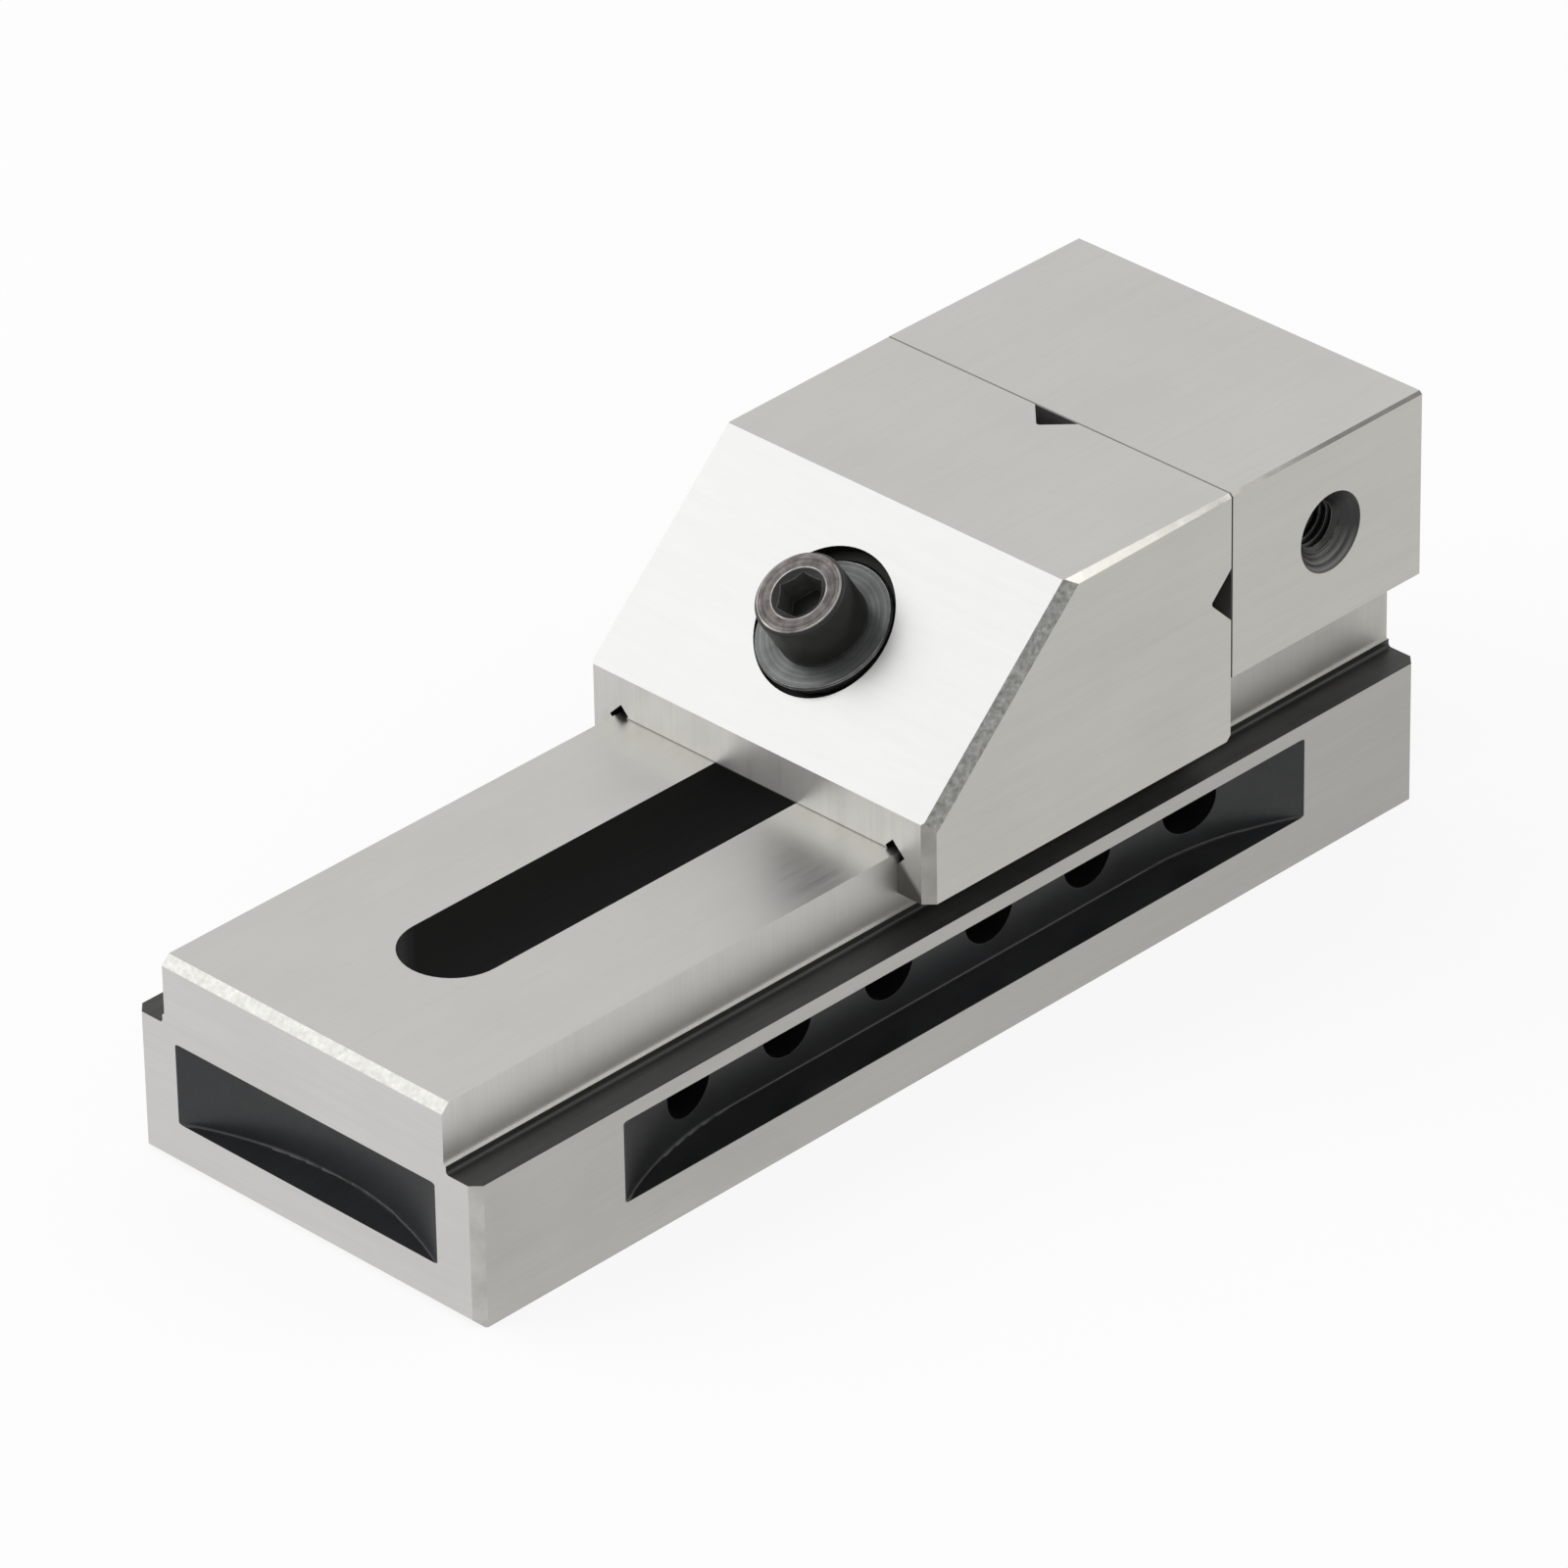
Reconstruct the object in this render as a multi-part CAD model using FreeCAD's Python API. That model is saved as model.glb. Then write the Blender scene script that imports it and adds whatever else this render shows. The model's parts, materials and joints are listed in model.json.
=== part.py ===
import FreeCAD, Part
import math
import os

# A quick-acting toolmaker's vise of the 63 mm class. Millimetres, +X from the front end towards the
# fixed jaw, +Z up. The origin is under the middle of the base, on the face that it stands on.

Vector = FreeCAD.Vector
ALONG_X = Vector(1, 0, 0)
ALONG_Y = Vector(0, 1, 0)
ALONG_Z = Vector(0, 0, 1)

# Base and rail
BODY_LENGTH = 178.0
BODY_WIDTH = 63.0
LEDGE_TOP = 21.4
RAIL_WIDTH = 51.5
RAIL_TOP = 31.5
MILLED_STEP = 0.4
MILLED_STEP_HEIGHT = 1.2
LEDGE_FILLET = 0.5
CORNER_CHAMFER = 1.4
FOOT_CHAMFER = 1.1
RAIL_NOSE_CHAMFER = 1.3

# Jaws
JAW_TOP = 63.0
FIXED_JAW_LENGTH = 37.4
OVERHANG_BOTTOM = 34.9
MOVABLE_JAW_LENGTH = 58.0
SKIRT_BOTTOM = 25.4
SLOPE_FOOT = 37.5
SLOPE_RUN = 26.6
FIXED_JAW_CHAMFER = 0.45
TOP_CHAMFER_WIDE_END = 1.0
TOP_CHAMFER_NARROW_END = 0.5
JAW_FRONT_CHAMFER = 1.45
SLOPE_BEVEL_ON_SLOPE = 1.1
SLOPE_BEVEL_ON_SIDE = 2.0
SKIRT_CORNER_CHAMFER = 0.9
FACE_EDGE_BREAK = 0.15
SLIDE_CLEARANCE = 0.03
RELIEF_WIDTH = 3.0
RELIEF_DEPTH = 0.95
RELIEF_INSET = 0.4
V_GROOVE_WIDTH = 8.2
V_GROOVE_ROOT = 0.5
V_GROOVE_HEIGHT = 47.8

# Slot, channel under it and the cross-drilled notches
SLOT_WIDTH = 15.0
SLOT_FRONT_WALL = 19.8
SLOT_REAR_WALL = 1.6
CHANNEL_WIDTH = 32.0
CHANNEL_END_WALL = 14.0
CHANNEL_CORNER_RADIUS = 6.0
NOTCH_HEIGHT = 14.3
NOTCH_DIAMETER = 9.2
NOTCH_LIP = 1.2
NOTCH_PITCH = 19.0
NOTCH_COUNT = 6
NOTCH_ROW_OFFSET = 1.7

# Clamping pockets, plunged by a disc cutter with a vertical spindle
POCKET_BOTTOM = 6.8
POCKET_TOP = 19.1
CUTTER_RADIUS = 55.0
CUTTER_EDGE_RADIUS = 0.35
SIDE_POCKET_LENGTH = 129.0
SIDE_POCKET_DEPTH = 6.2
END_POCKET_DEPTH = 5.5

# Tapped holes for a work stop in the fixed jaw's sides
STOP_HOLE_DEPTH = 16.0
STOP_COUNTERSINK = 11.8
STOP_COUNTERSINK_ANGLE = 82.0
DRILL_POINT_ANGLE = 118.0
STOP_FROM_REAR = 18.0
STOP_HEIGHT = 49.0

# Ball seat and ball washer
BALL_RADIUS = 10.2
BALL_SEAT_CLEARANCE = 0.15
BALL_RISE = 2.2
COUNTERBORE_DIAMETER = 21.5
COUNTERBORE_DEPTH = 2.0
WASHER_FACE = 2.2
WASHER_THICKNESS = 6.0
WASHER_BORE = 8.6
WASHER_RIM_CHAMFER = 0.3

# Clamp screw, M8 socket head
THREAD_DIAMETER = 8.0
THREAD_PITCH = 1.25
SCREW_LENGTH = 38.0
HEAD_DIAMETER = 13.0
HEAD_HEIGHT = 8.0
HEAD_CHAMFER = 0.45
SOCKET_ACROSS_FLATS = 6.0
SOCKET_DEPTH = 4.6
SOCKET_MOUTH_DIAMETER = 8.0
TIP_CHAMFER = 1.0
SCREW_WINDOW_WIDTH = 9.6
SWING_ANGLE_FRONT = 6.0
SWING_ANGLE_REAR = 12.0

# Pull block with its cross pin and lock screw. It is drawn slackened by RELEASE_TURNS.
SEATED_INDEX = 4
RELEASE_TURNS = 4.0
THREAD_CLEARANCE = 0.05
BLOCK_SIDE_CLEARANCE = 0.3
BLOCK_ABOVE_PIN = 14.0
BLOCK_BELOW_PIN = 5.5
BLOCK_DEPTH = 16.0
BLOCK_CHAMFER = 0.8
PIN_DIAMETER = 8.0
PIN_END_CLEARANCE = 1.0
PIN_CHAMFER = 0.6
LOCK_SCREW_DIAMETER = 4.0
LOCK_SCREW_SOCKET = 2.0
LOCK_SCREW_SOCKET_DEPTH = 1.6
LOCK_SCREW_GAP = 0.05

# Release spring between the movable jaw and the pull block
SPRING_WIRE = 1.1
SPRING_OUTER_DIAMETER = 12.4
SPRING_TURNS = 4.5
SPRING_SEAT = 19.5
SPRING_POCKET_CLEARANCE = 0.5
SPRING_END_GAP = 0.2

# Places worked out from the sizes above
REAR = BODY_LENGTH / 2
FRONT = -REAR
SIDE = BODY_WIDTH / 2
JAW_FACE = REAR - FIXED_JAW_LENGTH
JAW_FRONT = JAW_FACE - MOVABLE_JAW_LENGTH
CHANNEL_TOP = NOTCH_HEIGHT + NOTCH_LIP
PIN_LENGTH = CHANNEL_WIDTH - 2 * PIN_END_CLEARANCE
SLOPE_RISE = JAW_TOP - SLOPE_FOOT
SLOPE_ANGLE = math.degrees(math.atan2(SLOPE_RISE, SLOPE_RUN))
SLOPE_NORMAL = Vector(-SLOPE_RISE, 0, SLOPE_RUN).normalize()
SLOPE_MIDDLE = Vector(JAW_FRONT + SLOPE_RUN / 2, 0, SLOPE_FOOT + SLOPE_RISE / 2)
BALL_CENTRE = SLOPE_MIDDLE + SLOPE_NORMAL * BALL_RISE
REACH = 4 * JAW_TOP  # longer than any cut has to be
OVERRUN = 1.0  # how far a cut runs past the face that it breaks through
SAME_PLACE = 1e-4


def notch_x(index):
    """The place of one cross-drilled notch along the base."""
    return NOTCH_ROW_OFFSET + (index - (NOTCH_COUNT - 1) / 2) * NOTCH_PITCH


# The screw's own line runs from the ball centre to the middle of the notch that it pulls on.
SEATED_NOTCH_CENTRE = Vector(notch_x(SEATED_INDEX), 0, NOTCH_HEIGHT)
PIN_SEATED = (SEATED_NOTCH_CENTRE - BALL_CENTRE).Length
PIN_RELEASED = PIN_SEATED + RELEASE_TURNS * THREAD_PITCH
LEAN = math.degrees(math.atan2(SEATED_NOTCH_CENTRE.x - BALL_CENTRE.x, BALL_CENTRE.z - NOTCH_HEIGHT))
ON_SCREW_LINE = FreeCAD.Placement(BALL_CENTRE, FreeCAD.Rotation(ALONG_Y, -LEAN))
ON_SLOPE = FreeCAD.Placement(SLOPE_MIDDLE, FreeCAD.Rotation(ALONG_Y, -SLOPE_ANGLE))


def box(x_range, y_range, z_range):
    """A block between two values on each axis."""
    low = Vector(x_range[0], y_range[0], z_range[0])
    sizes = [high - start for start, high in (x_range, y_range, z_range)]
    return Part.makeBox(*sizes, low)


def disc(radius, z_from, z_to):
    """A cylinder on the Z axis between two heights."""
    return Part.makeCylinder(radius, z_to - z_from, Vector(0, 0, z_from))


def placed(shape, placement):
    """The shape carried to a placement, with its own kept underneath."""
    moved = shape.copy()
    moved.Placement = placement.multiply(moved.Placement)
    return moved


def prism(points, direction):
    """A straight prism on a closed outline of corner points."""
    return Part.Face(Part.makePolygon(points + points[:1])).extrude(direction)


def between_triangles(first, second):
    """The solid between two triangles whose matching sides are parallel."""
    sides = [[first[i - 1], first[i], second[i], second[i - 1]] for i in range(len(first))]
    faces = [Part.Face(Part.makePolygon(ring + ring[:1])) for ring in [first, second] + sides]
    return Part.Solid(Part.Shell(faces))


def hexagon(across_flats, z_from, z_to):
    """A hexagonal prism on the Z axis."""
    radius = across_flats / math.sqrt(3)
    corners = [Vector(radius * math.cos(turn), radius * math.sin(turn), z_from)
               for turn in (math.radians(60 * step) for step in range(6))]
    return prism(corners, Vector(0, 0, z_to - z_from))


def stadium(x_from, x_to, radius, z_from, z_to):
    """A slot form with round ends, its end arcs centred on x_from and x_to."""
    middle = box((x_from, x_to), (-radius, radius), (z_from, z_to))
    ends = [disc(radius, z_from, z_to).translated(Vector(x, 0, 0)) for x in (x_from, x_to)]
    return middle.fuse(ends).removeSplitter()


def edges_where(shape, test):
    """The edges whose every vertex passes a test."""
    return [edge for edge in shape.Edges if all(test(vertex.Point) for vertex in edge.Vertexes)]


def near(value, target):
    """Whether two lengths are the same place."""
    return abs(value - target) < SAME_PLACE


def on_side(point):
    """Whether a point lies on either long side."""
    return near(abs(point.y), SIDE)


def break_face_edges(jaw, bottom):
    """The jaw with the side and top edges of its clamping face just broken."""
    rim = edges_where(jaw, lambda p: near(p.x, JAW_FACE) and p.z > bottom - SAME_PLACE)
    rim = [edge for edge in rim if edge.BoundBox.ZMax > bottom + OVERRUN]
    return jaw.makeChamfer(FACE_EDGE_BREAK, rim)


def one_solid(shape):
    """The shape's single solid, with leftover seams merged."""
    solids = shape.removeSplitter().Solids
    assert len(solids) == 1, "expected one solid, got %d" % len(solids)
    return solids[0]


# Vise body

def base_and_rail():
    """The base with its two ledges and the ground rail, chamfered at the corners and the nose."""
    base = box((FRONT, REAR), (-SIDE, SIDE), (0, LEDGE_TOP))
    upright = edges_where(base, lambda p: near(abs(p.x), REAR) and on_side(p))
    upright = [edge for edge in upright if near(edge.Length, LEDGE_TOP)]
    base = base.makeChamfer(CORNER_CHAMFER, upright)
    foot = edges_where(base, lambda p: near(p.z, 0) and near(abs(p.x), REAR))
    base = base.makeChamfer(FOOT_CHAMFER, foot)
    half = RAIL_WIDTH / 2
    step = half + MILLED_STEP
    milled = box((FRONT, REAR), (-step, step), (LEDGE_TOP, LEDGE_TOP + MILLED_STEP_HEIGHT))
    rail = box((FRONT, REAR), (-half, half), (LEDGE_TOP, RAIL_TOP))
    nose = edges_where(rail, lambda p: near(p.z, RAIL_TOP) and near(p.x, FRONT))
    rail = rail.makeChamfer(RAIL_NOSE_CHAMFER, nose)
    whole = base.fuse([milled, rail]).removeSplitter()
    foot_lines = edges_where(whole, lambda p: near(p.z, LEDGE_TOP) and near(abs(p.y), step))
    return whole.makeFillet(LEDGE_FILLET, foot_lines)


def fixed_jaw():
    """The jaw at the rear: as wide as the rail at its root, and as wide as the base above."""
    half = RAIL_WIDTH / 2
    root = box((JAW_FACE, REAR), (-half, half), (RAIL_TOP, OVERHANG_BOTTOM))
    head = box((JAW_FACE, REAR), (-SIDE, SIDE), (OVERHANG_BOTTOM, JAW_TOP))
    top_sides = edges_where(head, lambda p: near(p.z, JAW_TOP) and on_side(p))
    top_sides = [edge for edge in top_sides if near(edge.Length, FIXED_JAW_LENGTH)]
    head = head.makeChamfer(FIXED_JAW_CHAMFER, top_sides)
    return break_face_edges(head, OVERHANG_BOTTOM).fuse(root)


def slot_and_channel():
    """The slot through the rail and the wider channel that opens downwards under it."""
    radius = SLOT_WIDTH / 2
    slot = stadium(FRONT + SLOT_FRONT_WALL + radius, JAW_FACE - SLOT_REAR_WALL - radius, radius,
                   CHANNEL_TOP - OVERRUN, RAIL_TOP + OVERRUN)
    half = CHANNEL_WIDTH / 2
    end = REAR - CHANNEL_END_WALL
    channel = box((-end, end), (-half, half), (-OVERRUN, CHANNEL_TOP))
    corners = edges_where(channel, lambda p: near(abs(p.x), end) and near(abs(p.y), half))
    corners = [edge for edge in corners if near(edge.Length, CHANNEL_TOP + OVERRUN)]
    return slot.fuse(channel.makeFillet(CHANNEL_CORNER_RADIUS, corners))


def notches():
    """The row of holes drilled across the base, whose upper halves hold the cross pin."""
    drill = Part.makeCylinder(NOTCH_DIAMETER / 2, BODY_WIDTH, Vector(0, -SIDE, NOTCH_HEIGHT), ALONG_Y)
    return [drill.translated(Vector(notch_x(index), 0, 0)) for index in range(NOTCH_COUNT)]


def with_round_rims(room):
    """The room that the disc cutter sweeps, rounded along its rims as the cutter's edge is."""
    rims = [edge for edge in room.Edges if near(edge.BoundBox.ZLength, 0)]
    return room.makeFillet(CUTTER_EDGE_RADIUS, rims)


def half_chord(depth):
    """Half the window that the disc cutter opens when it is plunged to a depth."""
    return math.sqrt(CUTTER_RADIUS ** 2 - (CUTTER_RADIUS - depth) ** 2)


def pockets():
    """The long pocket in each side and the short one in each end."""
    travel = SIDE_POCKET_LENGTH / 2 - half_chord(SIDE_POCKET_DEPTH)
    long_path = with_round_rims(stadium(-travel, travel, CUTTER_RADIUS, POCKET_BOTTOM, POCKET_TOP))
    short_path = with_round_rims(disc(CUTTER_RADIUS, POCKET_BOTTOM, POCKET_TOP))
    side_stand_off = SIDE + CUTTER_RADIUS - SIDE_POCKET_DEPTH
    end_stand_off = REAR + CUTTER_RADIUS - END_POCKET_DEPTH
    cuts = []
    for sign in (-1, 1):
        cuts.append(long_path.translated(Vector(NOTCH_ROW_OFFSET, sign * side_stand_off, 0)))
        cuts.append(short_path.translated(Vector(sign * end_stand_off, 0, 0)))
    return cuts


def stop_holes():
    """The countersunk M8 holes for a work stop, one in each side of the fixed jaw."""
    radius = THREAD_DIAMETER / 2 + THREAD_CLEARANCE
    wide = STOP_COUNTERSINK / 2
    tip = radius / math.tan(math.radians(DRILL_POINT_ANGLE / 2))
    sink = (wide - radius) / math.tan(math.radians(STOP_COUNTERSINK_ANGLE / 2))
    drill = Part.makeCylinder(radius, STOP_HOLE_DEPTH)
    drill = drill.fuse(Part.makeCone(radius, 0, tip, Vector(0, 0, STOP_HOLE_DEPTH)))
    drill = drill.fuse(Part.makeCone(wide, radius, sink))
    holes = []
    for sign in (-1, 1):
        mouth = Vector(REAR - STOP_FROM_REAR, sign * SIDE, STOP_HEIGHT)
        inwards = FreeCAD.Rotation(ALONG_Z, Vector(0, -sign, 0))
        holes.append(placed(drill, FreeCAD.Placement(mouth, inwards)))
    return holes


def vise_body():
    """The one-piece body: base, rail and fixed jaw, with everything that is cut into it."""
    body = base_and_rail().fuse(fixed_jaw())
    cuts = [slot_and_channel()] + notches() + pockets() + stop_holes()
    return one_solid(body.cut(cuts))


# Movable jaw

def jaw_blank():
    """The sloped block that straddles the rail, chamfered along its outer side edges."""
    outline = [Vector(JAW_FRONT, -SIDE, SKIRT_BOTTOM), Vector(JAW_FACE, -SIDE, SKIRT_BOTTOM),
               Vector(JAW_FACE, -SIDE, JAW_TOP), Vector(JAW_FRONT + SLOPE_RUN, -SIDE, JAW_TOP),
               Vector(JAW_FRONT, -SIDE, SLOPE_FOOT)]
    blank = prism(outline, Vector(0, BODY_WIDTH, 0))
    corners = edges_where(blank, lambda p: near(p.z, SKIRT_BOTTOM) and near(p.x, JAW_FACE))
    blank = blank.makeChamfer(SKIRT_CORNER_CHAMFER, corners)
    for sign in (-1, 1):
        blank = blank.cut([top_bevel(sign), slope_bevel(sign), front_bevel(sign)])
    return break_face_edges(blank, SKIRT_BOTTOM + SKIRT_CORNER_CHAMFER)


def top_bevel(sign):
    """What is filed off one side edge of the top, less towards the clamping face."""
    ends = ((JAW_FRONT + SLOPE_RUN, TOP_CHAMFER_WIDE_END), (JAW_FACE, TOP_CHAMFER_NARROW_END))
    return between_triangles(*[
        [Vector(x, sign * (SIDE - width), JAW_TOP), Vector(x, sign * SIDE, JAW_TOP - width),
         Vector(x, sign * SIDE, JAW_TOP)] for x, width in ends])


def slope_bevel(sign):
    """What a cutter takes off one side edge of the slope, further down the side than the slope."""
    inwards = -SLOPE_NORMAL
    along = Vector(SLOPE_RUN, 0, SLOPE_RISE)
    edge = Vector(JAW_FRONT, sign * SIDE, SLOPE_FOOT) - along
    out = Vector(0, sign, 0)
    corners = [edge + out - inwards, edge - out * SLOPE_BEVEL_ON_SLOPE,
               edge + inwards * SLOPE_BEVEL_ON_SIDE]
    return prism(corners, along * 3)


def front_bevel(sign):
    """What a cutter takes off one upright front edge."""
    past = JAW_FRONT_CHAMFER + OVERRUN
    corners = [Vector(JAW_FRONT - OVERRUN, sign * (SIDE + OVERRUN), 0),
               Vector(JAW_FRONT - OVERRUN, sign * (SIDE - past), 0),
               Vector(JAW_FRONT + past, sign * (SIDE + OVERRUN), 0)]
    return prism(corners, Vector(0, 0, REACH))


def way_cut():
    """The room for the rail, with a relief slot across each inner corner."""
    half = RAIL_WIDTH / 2 + SLIDE_CLEARANCE
    ends = (JAW_FRONT - OVERRUN, JAW_FACE + OVERRUN)
    cut = box(ends, (-half, half), (0, RAIL_TOP))
    for sign in (-1, 1):
        relief = box(ends, (-RELIEF_WIDTH / 2, RELIEF_WIDTH / 2), (-RELIEF_DEPTH, RELIEF_DEPTH))
        tilt = FreeCAD.Rotation(ALONG_X, -45 * sign)
        corner = Vector(0, sign * (RAIL_WIDTH / 2 - RELIEF_INSET), RAIL_TOP)
        cut = cut.fuse(placed(relief, FreeCAD.Placement(corner, tilt)))
    return cut


def v_grooves():
    """The upright and the level V groove in the clamping face, each with a narrow flat root."""
    half = V_GROOVE_WIDTH / 2
    root = V_GROOVE_ROOT / 2
    deep = half - root
    section = [(0, -half), (-deep, -root), (-deep, root), (0, half)]
    upright = [Vector(JAW_FACE + x, across, 0) for x, across in section]
    level = [Vector(JAW_FACE + x, -SIDE, V_GROOVE_HEIGHT + across) for x, across in section]
    return [prism(upright, Vector(0, 0, REACH)), prism(level, Vector(0, BODY_WIDTH, 0))]


def screw_window():
    """The window that lets the screw swing: its line swept between two leans."""
    radius = SCREW_WINDOW_WIDTH / 2
    bore = disc(radius, -REACH, 0)
    leans = (LEAN - SWING_ANGLE_FRONT, LEAN + SWING_ANGLE_REAR)
    fan = [BALL_CENTRE - Vector(0, radius, 0)]
    cuts = []
    for lean in leans:
        turned = FreeCAD.Placement(BALL_CENTRE, FreeCAD.Rotation(ALONG_Y, -lean))
        cuts.append(placed(bore, turned))
        fan.append(turned.multVec(Vector(0, -radius, -REACH)))
    cuts.append(prism(fan, Vector(0, SCREW_WINDOW_WIDTH, 0)))
    return cuts[0].fuse(cuts[1:])


def movable_jaw():
    """The sliding jaw with its ball seat, screw window and spring pocket."""
    counterbore = disc(COUNTERBORE_DIAMETER / 2, -COUNTERBORE_DEPTH, REACH)
    seat = Part.makeSphere(BALL_RADIUS + BALL_SEAT_CLEARANCE, BALL_CENTRE)
    spring_pocket = disc(SPRING_OUTER_DIAMETER / 2 + SPRING_POCKET_CLEARANCE, -REACH, -SPRING_SEAT)
    cuts = [way_cut(), placed(counterbore, ON_SLOPE), seat, screw_window(),
            placed(spring_pocket, ON_SCREW_LINE)] + v_grooves()
    return one_solid(jaw_blank().cut(cuts))


# Screw line. These pieces are drawn on the Z axis, with the ball centre at the origin and the screw's
# head towards +Z, and then laid on the screw's line.

def ball_washer():
    """The washer with a spherical underside that lets the screw find its own lean."""
    bottom = -(WASHER_FACE + WASHER_THICKNESS)
    zone = Part.makeSphere(BALL_RADIUS)
    zone = zone.common(disc(BALL_RADIUS + OVERRUN, bottom, -WASHER_FACE))
    rim = [edge for edge in zone.Edges if near(edge.BoundBox.ZMin, -WASHER_FACE)
           and near(edge.BoundBox.ZMax, -WASHER_FACE)]
    zone = zone.makeChamfer(WASHER_RIM_CHAMFER, rim)
    return one_solid(zone.cut(disc(WASHER_BORE / 2, bottom - OVERRUN, 0)))


def clamp_screw():
    """The socket head cap screw that pulls the jaw down and back."""
    under_head = -WASHER_FACE
    top = under_head + HEAD_HEIGHT
    head = disc(HEAD_DIAMETER / 2, under_head, top)
    rim = [edge for edge in head.Edges if near(edge.BoundBox.ZMin, top)]
    head = head.makeChamfer(HEAD_CHAMFER, rim)
    shank = disc(THREAD_DIAMETER / 2, under_head - SCREW_LENGTH, under_head)
    tip = [edge for edge in shank.Edges if near(edge.BoundBox.ZMax, under_head - SCREW_LENGTH)]
    shank = shank.makeChamfer(TIP_CHAMFER, tip)
    socket = hexagon(SOCKET_ACROSS_FLATS, top - SOCKET_DEPTH, top + OVERRUN)
    mouth_radius = SOCKET_MOUTH_DIAMETER / 2
    inner_radius = SOCKET_ACROSS_FLATS / 2
    mouth = Part.makeCone(inner_radius, mouth_radius, mouth_radius - inner_radius,
                          Vector(0, 0, top - mouth_radius + inner_radius))
    return one_solid(head.fuse(shank).cut([socket, mouth]))


def pull_block():
    """The block in the slot that the screw draws up, bored across for the pin."""
    half_width = SLOT_WIDTH / 2 - BLOCK_SIDE_CLEARANCE
    half_depth = BLOCK_DEPTH / 2
    pin_z = -PIN_RELEASED
    top = pin_z + BLOCK_ABOVE_PIN
    bottom = pin_z - BLOCK_BELOW_PIN
    block = box((-half_depth, half_depth), (-half_width, half_width), (bottom, top))
    ends = edges_where(block, lambda p: near(p.z, top)) + edges_where(block, lambda p: near(p.z, bottom))
    block = block.makeChamfer(BLOCK_CHAMFER, ends)
    tapped = disc(THREAD_DIAMETER / 2 + THREAD_CLEARANCE, pin_z, top + OVERRUN)
    cross = Part.makeCylinder(PIN_DIAMETER / 2, SLOT_WIDTH, Vector(0, -SLOT_WIDTH / 2, pin_z), ALONG_Y)
    lock = Part.makeCylinder(LOCK_SCREW_DIAMETER / 2, half_depth, Vector(0, 0, pin_z), ALONG_X)
    return one_solid(block.cut([tapped, cross, lock]))


def cross_pin():
    """The hardened pin that hooks into the notches on both sides of the slot."""
    start = Vector(0, -PIN_LENGTH / 2, -PIN_RELEASED)
    pin = Part.makeCylinder(PIN_DIAMETER / 2, PIN_LENGTH, start, ALONG_Y)
    rims = [edge for edge in pin.Edges if near(edge.BoundBox.YLength, 0)]
    return one_solid(pin.makeChamfer(PIN_CHAMFER, rims))


def pin_lock_screw():
    """The set screw in the back of the block that keeps the cross pin in place."""
    start = PIN_DIAMETER / 2 + LOCK_SCREW_GAP
    end = BLOCK_DEPTH / 2
    body = disc(LOCK_SCREW_DIAMETER / 2, start, end)
    body = body.cut(hexagon(LOCK_SCREW_SOCKET, end - LOCK_SCREW_SOCKET_DEPTH, end + OVERRUN))
    sideways = FreeCAD.Placement(Vector(0, 0, -PIN_RELEASED), FreeCAD.Rotation(ALONG_Z, ALONG_X))
    return one_solid(placed(body, sideways))


def release_spring():
    """The coil spring that keeps the pull block down, clear of the notches, once the screw is slack."""
    wire_radius = SPRING_WIRE / 2
    coil_radius = SPRING_OUTER_DIAMETER / 2 - wire_radius
    low = -PIN_RELEASED + BLOCK_ABOVE_PIN + SPRING_END_GAP + wire_radius
    high = -SPRING_SEAT - SPRING_END_GAP - wire_radius
    height = high - low
    helix = Part.makeHelix(height / SPRING_TURNS, height, coil_radius)
    start = Part.Circle(Vector(coil_radius, 0, 0), ALONG_Y, wire_radius).toShape()
    coil = Part.Wire(helix.Edges).makePipeShell([Part.Wire(start)], True, True)
    coil.Placement = FreeCAD.Placement(Vector(0, 0, low), FreeCAD.Rotation(ALONG_Z, 90))
    return one_solid(coil)


PIECES = {
    "vise_body": vise_body(),
    "movable_jaw": movable_jaw(),
    "clamp_screw": placed(clamp_screw(), ON_SCREW_LINE),
    "ball_washer": placed(ball_washer(), ON_SCREW_LINE),
    "pull_block": placed(pull_block(), ON_SCREW_LINE),
    "cross_pin": placed(cross_pin(), ON_SCREW_LINE),
    "pin_lock_screw": placed(pin_lock_screw(), ON_SCREW_LINE),
    "release_spring": placed(release_spring(), ON_SCREW_LINE),
}

os.makedirs("parts", exist_ok=True)
for name, piece in PIECES.items():
    piece.exportStep("parts/%s.step" % name)
    limits = piece.BoundBox
    print("%-16s valid %s volume %9.1f x %.2f %.2f y %.2f %.2f z %.2f %.2f" % (
        name, piece.isValid(), piece.Volume, limits.XMin, limits.XMax,
        limits.YMin, limits.YMax, limits.ZMin, limits.ZMax))
print("lean %.3f ball centre %.4f %.4f pin seated %.4f released %.4f" % (
    LEAN, BALL_CENTRE.x, BALL_CENTRE.z, PIN_SEATED, PIN_RELEASED))
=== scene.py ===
import json
import logging
import math
from contextlib import contextmanager
from dataclasses import dataclass
from enum import Enum
from typing import Callable, Iterator, Optional, Sequence

import bpy
from mathutils import Matrix, Vector


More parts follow.
